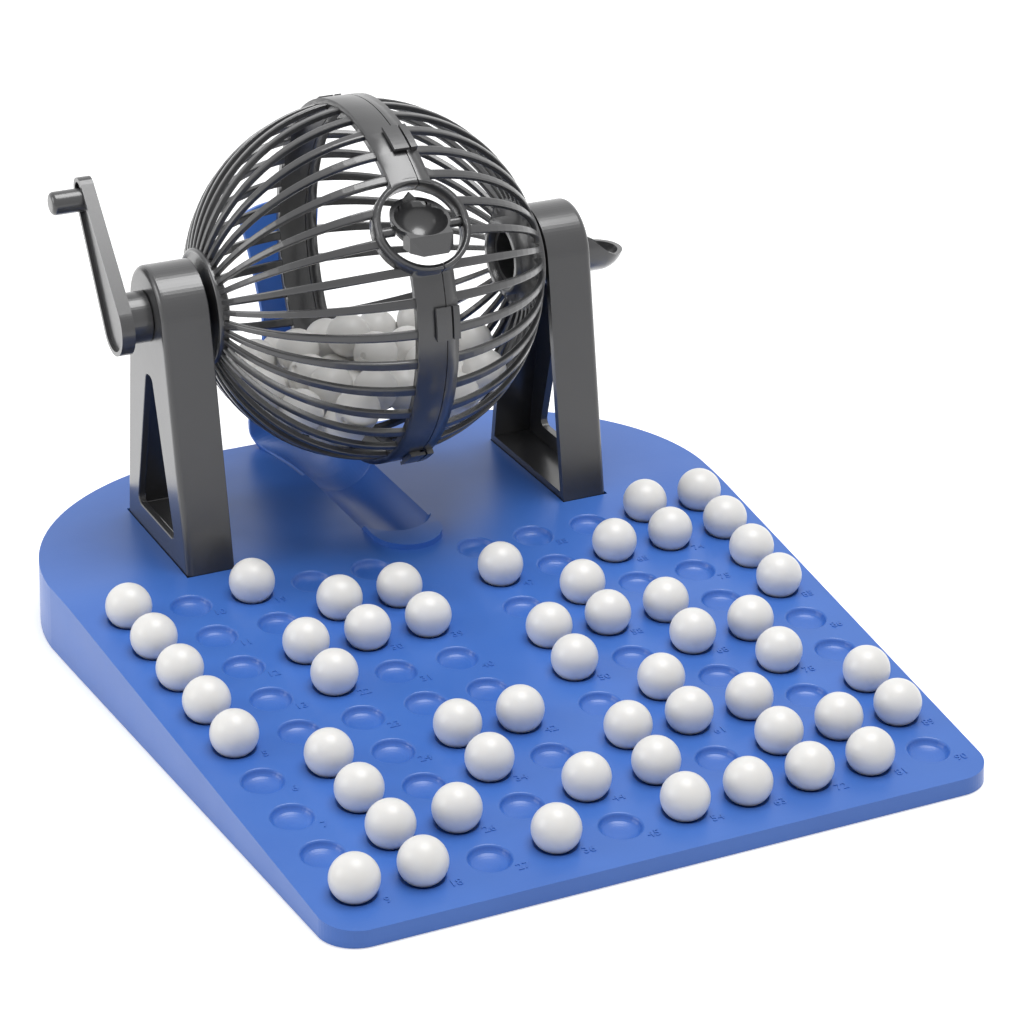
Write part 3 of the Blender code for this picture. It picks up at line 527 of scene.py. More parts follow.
def quarter(downward, steps=NOSE_STEPS):
    """Angles over a quarter turn, from 0 up or down to 0, without the quarter's own end."""
    turns = [QUARTER * step / steps for step in range(steps)]
    return list(reversed(turns)) if downward else turns


def rounded(corners, radius, steps=ROUNDED_STEPS):
    """The outline of a convex polygon, given anticlockwise, with each corner rounded."""
    outline = []
    for index, corner in enumerate(corners):
        here = Vector(corner)
        arriving = (here - Vector(corners[index - 1])).normalized()
        leaving = (Vector(corners[(index + 1) % len(corners)]) - here).normalized()
        normals = Vector((arriving.y, -arriving.x)), Vector((leaving.y, -leaving.x))
        centre = here - (normals[0] + normals[1]) * radius / (1 + normals[0].dot(normals[1]))
        start = math.atan2(normals[0].y, normals[0].x)
        bend = math.atan2(arriving.cross(leaving), arriving.dot(leaving))
        outline += arc(centre, radius, start, start + bend, steps)
    return outline


# Base tray

def crease_y():
    """Where the slope would meet the deck without its soft bend."""
    return FRONT_ROW_Y + (DECK_HEIGHT - FRONT_ROW_Z) / math.tan(SLOPE_ANGLE)


def surface_height(y):
    """The slope runs into the level deck with a soft bend."""
    past = y - crease_y()
    slope = math.tan(SLOPE_ANGLE)
    if past > CREASE_REACH:
        return DECK_HEIGHT
    if past < -CREASE_REACH:
        return DECK_HEIGHT + past * slope
    return DECK_HEIGHT - slope * (CREASE_REACH - past) ** 2 / (4 * CREASE_REACH)


def dimple_place(column, row):
    """Centre of a dimple on the sloped top. Row 0 is the rear row."""
    steps_back = ROWS - 1 - row
    side = 1 if 2 * column >= COLUMNS else -1
    x = (column - (COLUMNS - 1) / 2) * COLUMN_PITCH + side * COLUMN_FAN * steps_back
    y = FRONT_ROW_Y + steps_back * ROW_PITCH * math.cos(SLOPE_ANGLE)
    return Vector((x, y, surface_height(y)))


def tray_side_x(y, inset):
    """Half the tray's width at a place along it."""
    outer = (COLUMNS - 1) / 2 * COLUMN_PITCH + SIDE_MARGIN - inset
    return outer + COLUMN_FAN * (y - FRONT_ROW_Y) / (ROW_PITCH * math.cos(SLOPE_ANGLE))


def tray_outline(inset):
    """The tray from above: the right side from front to rear, then the left side back."""
    front = FRONT_ROW_Y - FRONT_MARGIN + inset
    radius = CORNER_RADIUS - inset
    corner = (tray_side_x(front, inset) - radius, front + radius)
    right = arc(corner, radius, -QUARTER, 0, CORNER_STEPS)
    for strip in range(CREASE_STRIPS + 1):
        y = crease_y() + CREASE_REACH * (2 * strip / CREASE_STRIPS - 1)
        right.append((tray_side_x(y, inset), y))
    rear_y = FRONT_ROW_Y + REAR_ROUND_START
    wide = REAR_ROUND_WIDTH - inset
    deep = REAR_ROUND_DEPTH - inset
    centre_x = tray_side_x(rear_y, inset) - wide
    for t in [QUARTER * step / REAR_STEPS for step in range(REAR_STEPS + 1)]:
        right.append((centre_x + wide * math.cos(t), rear_y + deep * math.sin(t)))
    return right + [(-x, y) for x, y in reversed(right)]


def tray_block(name, inset, drop, bottom, fillet):
    """The tray's form, from its sloped top less a drop down to a level bottom."""
    bm = bmesh.new()
    lower = []
    upper = []
    for x, y in tray_outline(inset):
        top = surface_height(y) - drop
        outward = Vector((x, y - AXLE.y / 2, 0)).normalized()
        outward = outward * (top - bottom) * math.tan(TRAY_DRAFT)
        lower.append(bm.verts.new((x + outward.x, y + outward.y, bottom)))
        upper.append(bm.verts.new((x, y, top)))
    count = len(upper)
    join_rings(bm, [lower, upper])
    bm.faces.new(list(reversed(lower)))
    rim = [bm.edges.get((upper[index], upper[(index + 1) % count])) for index in range(count)]
    first = CORNER_STEPS + 1
    final = first + CREASE_STRIPS
    bm.faces.new(upper[:first + 1] + upper[count - 1 - first:])
    bm.faces.new(upper[final:count - final])
    for here in range(first, final):
        across = count - 1 - here
        bm.faces.new((upper[here], upper[here + 1], upper[across - 1], upper[across]))
    if fillet:
        round_edges(bm, rim, fillet)
    return as_object(name, bm)


def dimple_cutter():
    """All the dimples as plugs square to the slope: a flat bowl, a steep wall, a rolled rim."""
    bm = bmesh.new()
    tilt = Matrix.Rotation(SLOPE_ANGLE, 4, "X")
    profile = [(radius * DIMPLE_RADIUS, -depth * DIMPLE_DEPTH) for radius, depth in DIMPLE_SHARES]
    profile.append((profile[-1][0] + OVERRUN, OVERRUN))
    turns = [2 * math.pi * (side + 0.5) / DIMPLE_SIDES for side in range(DIMPLE_SIDES)]
    for column in range(COLUMNS):
        for row in range(ROWS):
            place = Matrix.Translation(dimple_place(column, row)) @ tilt
            rings = []
            for radius, height in profile:
                points = [(radius * math.cos(t), radius * math.sin(t), height) for t in turns]
                rings.append([bm.verts.new(place @ Vector(point)) for point in points])
            join_rings(bm, rings)
            bm.faces.new(list(reversed(rings[0])))
            bm.faces.new(rings[-1])
    return as_object("dimple_cutter", bm)


def groove_form(name, extra):
    """The round-ended groove's form, or the keel round it where extra is above 0."""
    sag = (GROOVE_HALF_WIDTH**2 + GROOVE_DEPTH**2) / (2 * GROOVE_DEPTH)
    radius = sag + extra
    nose = GROOVE_REAR - GROOVE_FRONT
    profile = [(0, nose + radius)]
    profile += [(radius * math.cos(t), nose + radius * math.sin(t)) for t in quarter(True)]
    profile += [(radius * math.cos(t), -radius * math.sin(t)) for t in quarter(False)]
    profile.append((0, -radius))
    height = DECK_HEIGHT - GROOVE_DEPTH + sag
    place = Matrix.Translation((GROOVE_OFFSET, FRONT_ROW_Y + GROOVE_FRONT, height))
    return turned(name, profile, place @ Matrix.Rotation(-QUARTER, 4, "X"))


def landing():
    """The shallow sink in front of the groove, with a round front and ramped edges."""
    bm = bmesh.new()
    centre = FRONT_ROW_Y + LANDING_FRONT + LANDING_RADIUS
    rings = []
    for inset, rise in ((LANDING_RAMP, -LANDING_DEPTH), (0, 0), (0, OVERRUN)):
        radius = LANDING_RADIUS - inset
        turns = quarter(False, LANDING_STEPS)[1:]
        stations = [(centre - radius * math.cos(t), radius * math.sin(t)) for t in turns]
        stations += [(centre, radius), (FRONT_ROW_Y + LANDING_REAR, radius)]
        ring = []
        for y, half in stations:
            ends = [(GROOVE_OFFSET + side * half, y, surface_height(y) + rise) for side in (-1, 1)]
            ring.append([bm.verts.new(end) for end in ends])
        rings.append(ring)
    for here in range(len(rings[0]) - 1):
        after = here + 1
        for ring in (rings[0], rings[-1]):
            bm.faces.new((ring[here][0], ring[here][1], ring[after][1], ring[after][0]))
        for lower, upper in zip(rings, rings[1:]):
            for side in (0, 1):
                low = lower[here][side], lower[after][side]
                bm.faces.new((*low, upper[after][side], upper[here][side]))
    for lower, upper in zip(rings, rings[1:]):
        for here in (0, -1):
            bm.faces.new((lower[here][0], lower[here][1], upper[here][1], upper[here][0]))
    return as_object("landing", bm)


def stand_seat(side):
    """The shallow seat in the deck for a stand's foot."""
    half = STAND_FOOT_HALF_LENGTH + CLEARANCE
    floor = DECK_HEIGHT - STAND_SEAT_DEPTH - AXLE.z
    top = DECK_HEIGHT + OVERRUN - AXLE.z
    outline = [(-half, floor), (half, floor), (half, top), (-half, top)]
    inner = side * (STAND_INNER_X - CLEARANCE)
    outer = side * (STAND_INNER_X + STAND_WIDTH + CLEARANCE)
    return side_prism("stand_seat", outline, inner, outer)


def make_tray():
    body = tray_block("tray_body", 0, 0, 0, TRAY_EDGE_FILLET)
    hollow = tray_block("tray_hollow", TRAY_WALL, TRAY_PLATE, -OVERRUN, 0)
    boolean(hollow, groove_form("groove_keel", GROOVE_FLOOR), "DIFFERENCE")
    boolean(body, hollow, "DIFFERENCE")
    boolean(body, landing(), "DIFFERENCE")
    boolean(body, groove_form("groove_cutter", 0), "DIFFERENCE")
    boolean(body, slide_bed(), "DIFFERENCE")
    for side in (-1, 1):
        boolean(body, stand_seat(side), "DIFFERENCE")
    boolean(body, dimple_cutter(), "DIFFERENCE")
    soften(body)
    return finished(body, "tray_moulding", "base", blue, "base_tray")


def make_numbers():
    """Plain raised numbers, one at the front right of each dimple."""
    tilt = Matrix.Rotation(SLOPE_ANGLE, 4, "X")
    bm = bmesh.new()
    for column in range(COLUMNS):
        for row in range(ROWS):
            text = bpy.data.curves.new("number", "FONT")
            text.body = str(column * ROWS + row + 1)
            text.size = NUMBER_SIZE
            text.extrude = NUMBER_RISE
            text.bevel_depth = NUMBER_BEVEL
            text.resolution_u = 3
            text.align_x = "CENTER"
            holder = linked("number", text)
            graph = bpy.context.evaluated_depsgraph_get()
            mesh = bpy.data.meshes.new_from_object(holder.evaluated_get(graph))
            offset = Matrix.Translation(NUMBER_OFFSET)
            mesh.transform(Matrix.Translation(dimple_place(column, row)) @ tilt @ offset)
            bm.from_mesh(mesh)
            bpy.data.objects.remove(holder)
            bpy.data.curves.remove(text)
            bpy.data.meshes.remove(mesh)
    bmesh.ops.remove_doubles(bm, verts=bm.verts, dist=1e-7)
    mesh = bpy.data.meshes.new("tray_numbers")
    bm.to_mesh(mesh)
    bm.free()
    mesh.materials.append(blue)
    return dressed(linked("tray_numbers", mesh), "base", blue)


# Slide

def smooth_rows(rows, per_gap):
    """Rows of numbers with in-between rows on a Catmull-Rom curve."""
    result = []
    for index in range(len(rows) - 1):
        before = rows[max(index - 1, 0)]
        first = rows[index]
        second = rows[index + 1]
        beyond = rows[min(index + 2, len(rows) - 1)]
        for step in range(per_gap):
            t = step / per_gap
            row = []
            for a, b, c, d in zip(before, first, second, beyond):
                bend = (2 * a - 5 * b + 4 * c - d) + t * (3 * b - a - 3 * c + d)
                row.append(b + t * ((c - a) + t * bend) / 2)
            result.append(tuple(row))
    result.append(tuple(rows[-1]))
    return result


def groove_bend(across):
    """The groove's rise at a share of its half width, as a share of the rise at its edge."""
    def rise(share):
        return 1 - math.sqrt(1 - (GROOVE_ARC_SHARE * share) ** 2)

    return rise(across) / rise(1)


def slide_sheet(width_gap, drop, fine_strips, reach=1.0):
    """The slide's upper surface as an open sheet, lowered by drop along its own normals.

    The tongue follows the groove's section and place. From half its run on, the sheet has its own.
    """
    bm = bmesh.new()
    front = FRONT_ROW_Y + GROOVE_REAR - SLIDE_TONGUE - width_gap
    stations = [(*middle, *edge) for middle, edge in zip(SLIDE_MIDDLE_SHARES, SLIDE_EDGE_SHARES)]
    grid = []
    for station in smooth_rows(stations, SLIDE_STATION_STEPS):
        if station[1] > reach:
            break
        line = []
        flush = max(0, 1 - 2 * station[0])
        for strip in range(fine_strips + 1):
            across = 2 * strip / fine_strips - 1
            bend = across**2 + (groove_bend(across) - across**2) * flush
            run = station[0] + (station[3] - station[0]) * across**2
            rise = station[1] + (station[4] - station[1]) * bend
            x = GROOVE_OFFSET * flush + (station[2] * SLIDE_HALF_WIDTH + width_gap) * across
            line.append(bm.verts.new((x, front + run * SLIDE_RUN, DECK_HEIGHT + rise * SLIDE_RISE)))
        grid.append(line)
    for line, following in zip(grid, grid[1:]):
        for strip in range(fine_strips):
            bm.faces.new((line[strip], line[strip + 1], following[strip + 1], following[strip]))
    bm.normal_update()
    moves = [(vert, vert.normal * -drop) for vert in bm.verts]
    for vert, move in moves:
        vert.co += move
    return bm


def slide_bed():
    """The room that the slide's foot takes in the deck and groove."""
    drop = SLIDE_THICKNESS + CLEARANCE
    bm = slide_sheet(CLEARANCE / 3, drop, SLIDE_BED_STRIPS, SLIDE_BED_REACH)
    raise_faces(bm, list(bm.faces), DECK_HEIGHT)
    return as_object("slide_bed", bm)


def make_slide():
    bm = slide_sheet(0, 0, SLIDE_STRIPS)
    mesh = bpy.data.meshes.new("slide_sheet")
    bm.to_mesh(mesh)
    bm.free()
    sheet = keep("slide_sheet", mesh)
    front = sheet.vertex_groups.new(name="front")
    front.add(list(range(SLIDE_STRIPS + 1)), 1, "ADD")
    shell = sheet.modifiers.new("shell", "SOLIDIFY")
    shell.thickness = SLIDE_THICKNESS
    shell.offset = -1
    soften(sheet, SOFT_SLIDE_EDGE, 3)
    sheet.modifiers["soft_edges"].vertex_group = "front"
    sheet.modifiers["soft_edges"].invert_vertex_group = True
    return finished(sheet, "slide_trough", "base", blue, "ball_slide")


# Stands

def stand_corner_turn():
    """The angle at which a stand's straight edge meets its round head."""
    drop = AXLE.z - DECK_HEIGHT
    away = math.hypot(STAND_FOOT_HALF_LENGTH, drop)
    return math.atan2(-drop, STAND_FOOT_HALF_LENGTH) + math.acos(STAND_HEAD_RADIUS / away)


def stand_outline(inset, bottom):
    """A stand from its side, as (y, z) points about the axle. Below the deck it is straight."""
    start = stand_corner_turn()
    head = arc((0, 0), STAND_HEAD_RADIUS - inset, start, math.pi - start, STAND_HEAD_STEPS)

    def half_length(height):
        return (STAND_HEAD_RADIUS - inset - height * math.sin(start)) / math.cos(start)

    deck = DECK_HEIGHT - AXLE.z
    if bottom > deck:
        half = half_length(bottom)
        return [(-half, bottom), (half, bottom)] + head
    half = half_length(deck)
    return [(-half, deck), (-half, bottom), (half, bottom), (half, deck)] + head


def stand_shell(side, bore_radius):
    """A stand as a channel that is open to the cage, with its window and its bearing boss."""
    inner = side * STAND_INNER_X
    outer = side * (STAND_INNER_X + STAND_WIDTH)
    bottom = DECK_HEIGHT - STAND_SEAT_DEPTH + CLEARANCE - AXLE.z
    body = side_prism("stand_body", stand_outline(0, bottom), inner, outer)
    bm = bmesh.new()
    bm.from_mesh(body.data)
    rim = [e for e in bm.edges if all(abs(v.co.z - outer) < CLEARANCE for v in e.verts)]
    round_edges(bm, rim, STAND_EDGE_FILLET)
    bm.to_mesh(body.data)
    bm.free()
    floor = outer - side * STAND_WALL
    open_end = inner - side * OVERRUN
    hollow_outline = stand_outline(STAND_WALL, DECK_HEIGHT + STAND_WALL - AXLE.z)
    hollow = side_prism("stand_hollow", hollow_outline, open_end, floor)
    boolean(hollow, rod("stand_boss", bore_radius + BEARING_WALL, open_end, outer), "DIFFERENCE")
    boolean(body, hollow, "DIFFERENCE")
    corners = (
        (-WINDOW_TOP_HALF_WIDTH, -WINDOW_TOP_DROP),
        (-WINDOW_HALF_WIDTH, -WINDOW_BOTTOM_DROP),
        (WINDOW_HALF_WIDTH, -WINDOW_BOTTOM_DROP),
        (WINDOW_TOP_HALF_WIDTH, -WINDOW_TOP_DROP),
    )
    window_outline = rounded(corners, WINDOW_FILLET)
    window = side_prism("stand_window", window_outline, open_end, outer + side * OVERRUN)
    boolean(body, window, "DIFFERENCE")
    return body


def make_crank_stand():
    bore_radius = SHAFT_RADIUS + CLEARANCE
    body = stand_shell(-1, bore_radius)
    ends = -STAND_INNER_X - STAND_WIDTH - OVERRUN, -STAND_INNER_X + OVERRUN
    boolean(body, rod("crank_bore", bore_radius, *ends), "DIFFERENCE")
    soften(body, SOFT_STAND_EDGE)
    return finished(body, "crank_stand_moulding", "base", grey, "stand_crank_side")


def round_nosed(name, radius, start, end):
    """A rod about the axle from start to end, and a half ball beyond its end."""
    profile = [(0, end + radius)]
    profile += [(radius * math.cos(t), end + radius * math.sin(t)) for t in quarter(True)]
    profile += [(radius, start), (0, start)]
    return turned(name, profile, AXLE_PLACE @ ALONG_X)


def spout_opening(outer_face, tube_radius):
    """What is cut away above the scoop's rim."""
    reach = tube_radius + OVERRUN
    end = outer_face + SPOUT_LENGTH + OVERRUN
    rim = [(outer_face + out * SPOUT_LENGTH, up * tube_radius) for out, up in SPOUT_RIM_SHARES]
    outline = [(rim[0][0], reach), *rim, (end, rim[-1][1]), (end, reach)]
    place = AXLE_PLACE @ Matrix.Rotation(QUARTER, 4, "X")
    return prism("spout_opening", outline, -reach, reach, place)


def make_spout_stand():
    body = stand_shell(1, BORE_RADIUS)
    outer_face = STAND_INNER_X + STAND_WIDTH
    tube_radius = BORE_RADIUS + SPOUT_WALL
    start = STAND_INNER_X - SPOUT_TUBE_REACH
    nose = outer_face + SPOUT_LENGTH - tube_radius
    spout = round_nosed("spout_outside", tube_radius, start, nose)
    boolean(spout, spout_opening(outer_face, tube_radius), "DIFFERENCE")
    boolean(body, spout, "UNION")
    boolean(body, round_nosed("spout_bore", BORE_RADIUS, start - OVERRUN, nose), "DIFFERENCE")
    soften(body)
    return finished(body, "spout_stand_moulding", "base", grey, "stand_spout_side")


# Cage

def around(angle, radius, x):
    """A point at a radius from the axle. Angle 0 faces the front and a quarter turn faces up."""
    return Vector((x, -radius * math.cos(angle), radius * math.sin(angle)))


def ribs(side):
    """Round-edged meridian ribs of one half, from the polar disc to the band."""
    bm = bmesh.new()
    middle = CAGE_RADIUS - RIB_THICKNESS / 2
    start = math.asin((DISC_RADIUS - DISC_RIM) / CAGE_RADIUS)
    end = math.acos((BAND_HALF_WIDTH - RIB_THICKNESS / 2) / CAGE_RADIUS)
    square = [(-0.5, -0.5), (0.5, -0.5), (0.5, 0.5), (-0.5, 0.5)]
    section = rounded(square, RIB_ROUNDING, RIB_CORNER_STEPS)
    for rib in range(RIBS):
        turn = RIB_PHASE + 2 * math.pi * rib / RIBS
        side_step = around(turn + QUARTER, 1, 0)
        rings = []
        for step in range(RIB_STEPS + 1):
            along = step / RIB_STEPS
            polar = start + (end - start) * along
            width = RIB_WIDTH_AT_HUB + (RIB_WIDTH_AT_BAND - RIB_WIDTH_AT_HUB) * along
            ring = []
            for across, through in section:
                radius = middle + RIB_THICKNESS * through
                base = around(turn, radius * math.sin(polar), side * radius * math.cos(polar))
                ring.append(bm.verts.new(base + side_step * width * across))
            rings.append(ring)
        join_closed(bm, rings)
    return as_object("ribs", bm, AXLE_PLACE)


def bent_blocks(name, ends, radii, angle):
    """The snap tabs round the band between two places along the axle and between two radii."""
    bm = bmesh.new()
    (left, right), (low, high) = ends, radii
    corners = ((left, low), (right, low), (right, high), (left, high))
    for tab in range(TABS):
        turn = TAB_PHASE + 2 * math.pi * tab / TABS
        rings = []
        for step in range(TAB_STEPS + 1):
            here = turn + angle * (step / TAB_STEPS - 0.5)
            rings.append([bm.verts.new(around(here, radius, x)) for x, radius in corners])
        join_closed(bm, rings)
    return as_object(name, bm, AXLE_PLACE)


RING_PLACE = Matrix.Translation(PIVOT) @ Matrix.Rotation(QUARTER - OUTLET_TILT, 4, "X")


def ring_tube(name, outer, inner, height):
    """A tube, or a plug where inner is 0, at the outlet ring's place."""
    half = height / 2
    profile = [(outer, half), (outer, -half), (inner, -half), (inner, half)]
    return turned(name, profile, RING_PLACE, RING_SIDES)


def polar_disc(side):
    """The disc that the ribs spring from, with its rolled rim and its hub, open along the axle."""
    bore = SHAFT_RADIUS + CLEARANCE if side < 0 else BORE_RADIUS + SPOUT_WALL + CLEARANCE
    hub = bore + HUB_WALL
    outer_end = STAND_INNER_X - CLEARANCE
    profile = [(bore, outer_end), (hub, outer_end), (hub, DISC_FACE_X)]
    profile.append((DISC_RADIUS - DISC_RIM, DISC_FACE_X))
    rim = DISC_RIM / 2
    profile += arc((DISC_RADIUS - rim, DISC_FACE_X), rim, 0.75 * math.pi, 0, DISC_RIM_STEPS)
    back = DISC_FACE_X - DISC_THICKNESS
    inside = DISC_FACE_X - HUB_LENGTH_INSIDE
    profile += [(DISC_RADIUS, back), (hub, back), (hub, inside), (bore, inside)]
    return turned("polar_disc", profile, AXLE_PLACE @ Matrix.Rotation(side * QUARTER, 4, "Y"))


def cage_half(side):
    """Band, ribs, disc, outlet ring and snap hooks of one half, cut off at the seam."""
    seam = SEAM_X + side * CLEARANCE / 2
    left, right = sorted((side * BAND_HALF_WIDTH, seam - side * OVERRUN))
    inner = BAND_RADIUS - BAND_THICKNESS
    band = [(BAND_RADIUS, right), (BAND_RADIUS, left), (inner, left), (inner, right)]
    body = turned("band", band, AXLE_PLACE @ ALONG_X, BAND_SIDES)
    above = BAND_RADIUS + OVERRUN
    flare = 3 * (SEAM_GROOVE_WIDTH / 2)
    groove = [(BAND_RADIUS - SEAM_GROOVE_DEPTH, SEAM_X), (above, SEAM_X - flare)]
    groove.append((above, SEAM_X + flare))
    seam_groove = turned("seam_groove", groove, AXLE_PLACE @ ALONG_X, BAND_SIDES)
    boolean(body, seam_groove, "DIFFERENCE")
    boolean(body, ribs(side), "UNION")
    boolean(body, polar_disc(side), "UNION")
    outer = RING_OUTER_RADIUS
    clearing = ring_tube("clearing", outer - RING_WALL / 2, 0, 2 * outer)
    boolean(body, clearing, "DIFFERENCE")
    boolean(body, ring_tube("ring", outer, outer - RING_WALL, RING_HEIGHT), "UNION")
    hole_ends = side * CUP_RADIUS, side * (outer - RING_WALL / 4)
    hole = rod("hole", TRUNNION_RADIUS + CLEARANCE, *hole_ends, PIVOT, PIN_SIDES)
    boolean(body, hole, "DIFFERENCE")
    far = 2 * CAGE_RADIUS
    square = [(-far, -far), (far, -far), (far, far), (-far, far)]
    boolean(body, side_prism("seam_cut", square, seam, -side * far), "DIFFERENCE")
    root = BAND_RADIUS - BAND_THICKNESS / 2
    top = BAND_RADIUS + TAB_RISE
    if side > 0:
        ends = TAB_SPLIT_X + TAB_GAP / 2, TAB_RIGHT_X
        boolean(body, bent_blocks("tabs", ends, (root, top), TAB_ANGLE), "UNION")
    else:
        ends = TAB_LEFT_X + CLEARANCE, seam - CLEARANCE
        radii = root, BAND_RADIUS + TAB_RISE / 2
        boolean(body, bent_blocks("feet", ends, radii, TAB_ANGLE * TAB_FOOT_SHARE), "UNION")
        ends = TAB_LEFT_X, TAB_SPLIT_X - TAB_GAP / 2
        radii = BAND_RADIUS + TAB_GAP, top
        boolean(body, bent_blocks("hooks", ends, radii, TAB_ANGLE), "UNION")
    return body


def make_cage():
    for side, label in ((-1, "crank"), (1, "spout")):
        body = cage_half(side)
        finished(body, f"{label}_cage_moulding", "cage", grey, f"cage_half_{label}")


# Outlet cup

def cup_profile(radius, top):
    """A round-bottomed cup's outline from its top down to its middle."""
    centre = CUP_RADIUS - CUP_BOTTOM_DROP
    profile = [(radius, top)]
    profile += [(radius * math.cos(t), centre - radius * math.sin(t)) for t in quarter(False)]
    return profile + [(0, centre - radius), (0, top)]


def mouth_height(y):
    """Height of the cup's leaning mouth over its trunnions."""
    return CUP_MOUTH_RISE + y * math.tan(CUP_MOUTH_LEAN)


def beak_block(inset, place):
    """A wedge whose flat face drops from the mouth to a straight front edge, or its hollow."""
    bm = bmesh.new()
    floor = CUP_WALL - CUP_BOTTOM_DROP + inset
    shoulder = inset - BEAK_SHOULDER_REACH
    over = mouth_height(-BEAK_SHOULDER_REACH) - inset
    tip = (1.5 * inset - BEAK_REACH, inset - BEAK_DROP, CUP_WALL - BEAK_DROP + inset / 2)
    corners = []
    for half, y, low, high in (
        (BEAK_ROOT_HALF_WIDTH, -BEAK_ROOT_REACH, floor, mouth_height(-BEAK_ROOT_REACH) - inset),
        (BEAK_ROOT_HALF_WIDTH, shoulder, floor, over),
        (BEAK_TIP_HALF_WIDTH, *tip),
    ):
        half -= inset
        corners.append([(-half, y, low), (half, y, low), (half, y, high), (-half, y, high)])
    join_closed(bm, [[bm.verts.new(point) for point in ring] for ring in corners])
    return as_object("beak", bm, place)


def lip_block(place):
    """The small pointed lip that stands up from the rear of the mouth."""
    bm = bmesh.new()
    half = CUP_LIP_HALF_WIDTH
    outline = ((-half, CUP_LIP_FOOT), (half, CUP_LIP_FOOT), (0, CUP_LIP_TOP))
    rear = math.sqrt(CUP_RADIUS**2 - half**2) - CLEARANCE / 2
    depths = rear - CUP_LIP_THICKNESS, rear
    join_closed(bm, [[bm.verts.new((x, y, z)) for x, z in outline] for y in depths])
    return as_object("lip", bm, place)


def make_cup():
    place = Matrix.Translation(PIVOT)
    top = CUP_LIP_TOP + OVERRUN
    far = 2 * CUP_RADIUS
    solid = turned("cup_outside", cup_profile(CUP_RADIUS, top), place)
    boolean(solid, beak_block(0, place), "UNION")
    outline = [(-far, mouth_height(-far)), (far, mouth_height(far))]
    outline += [(far, 2 * far), (-far, 2 * far)]
    boolean(solid, prism("mouth_cut", outline, -far, far, place @ SIDEWAYS), "DIFFERENCE")
    boolean(solid, lip_block(place), "UNION")
    inside = cup_profile(CUP_RADIUS - CUP_WALL, top + OVERRUN)
    forward = Matrix.Translation((0, -CUP_CAVITY_SHIFT, 0))
    boolean(solid, turned("cup_inside", inside, place @ forward), "DIFFERENCE")
    boolean(solid, beak_block(CUP_WALL, place), "DIFFERENCE")
    reach = RING_OUTER_RADIUS - RING_WALL / 2
    for side in (-1, 1):
        ends = side * (CUP_RADIUS - CUP_WALL / 2), side * reach
        boolean(solid, rod("pin", TRUNNION_RADIUS, *ends, PIVOT, PIN_SIDES), "UNION")
    soften(solid, SOFT_EDGE, 3)
    return finished(solid, "cup_moulding", "cup", grey, "outlet_cup")


# Crank

def crank_arm_outline(inset):
    """The arm from its side, as (y, z) points about the axle: a big and a small round end."""
    hub = CRANK_ARM_HUB_RADIUS - inset
    tip = CRANK_ARM_TIP_RADIUS - inset
    open_turn = math.acos((hub - tip) / (CRANK_ARM_LENGTH + CRANK_ARM_FOOT))
    start = QUARTER - open_turn
    end = QUARTER + open_turn
    outline = arc((0, CRANK_ARM_LENGTH), tip, start, end, ARM_TIP_STEPS)
    outline += arc((0, -CRANK_ARM_FOOT), hub, end, 2.5 * math.pi - open_turn, ARM_HUB_STEPS)
    lean = Matrix.Rotation(-CRANK_LEAN, 2)
    return [tuple(lean @ Vector(point)) for point in outline]


def make_crank():
    stand_face = -STAND_INNER_X - STAND_WIDTH
    hub_end = stand_face - CLEARANCE - CRANK_HUB_LENGTH
    arm_face = hub_end - CRANK_ARM_THICKNESS
    shaft_end = -DISC_FACE_X + HUB_LENGTH_INSIDE
    body = side_prism("crank_arm", crank_arm_outline(0), arm_face, hub_end)
    ends = arm_face - OVERRUN, arm_face + CRANK_RECESS
    recess = side_prism("crank_recess", crank_arm_outline(CRANK_RIM), *ends)
    boolean(body, recess, "DIFFERENCE")
    overlap = CRANK_ARM_THICKNESS / 2
    start = hub_end - overlap
    boolean(body, rod("crank_hub", CRANK_HUB_RADIUS, start, stand_face - CLEARANCE), "UNION")
    boolean(body, rod("crank_shaft", SHAFT_RADIUS, start, shaft_end), "UNION")
    top = KNOB_LENGTH - arm_face
    flat = KNOB_RADIUS - KNOB_FILLET
    profile = [(0, top), (flat, top)]
    for t in quarter(True, KNOB_STEPS):
        profile.append((flat + KNOB_FILLET * math.cos(t), top - KNOB_FILLET * (1 - math.sin(t))))
    profile += [(KNOB_RADIUS, -arm_face - overlap), (0, -arm_face - overlap)]
    across = KNOB_REACH * math.sin(CRANK_LEAN)
    up = KNOB_REACH * math.cos(CRANK_LEAN)
    place = AXLE_PLACE @ Matrix.Translation((0, across, up)) @ Matrix.Rotation(-QUARTER, 4, "Y")
    boolean(body, turned("crank_knob", profile, place, KNOB_SIDES), "UNION")
    soften(body, SOFT_CRANK_EDGE)
    return finished(body, "crank_moulding", "cage", grey, "crank_handle")


# Balls

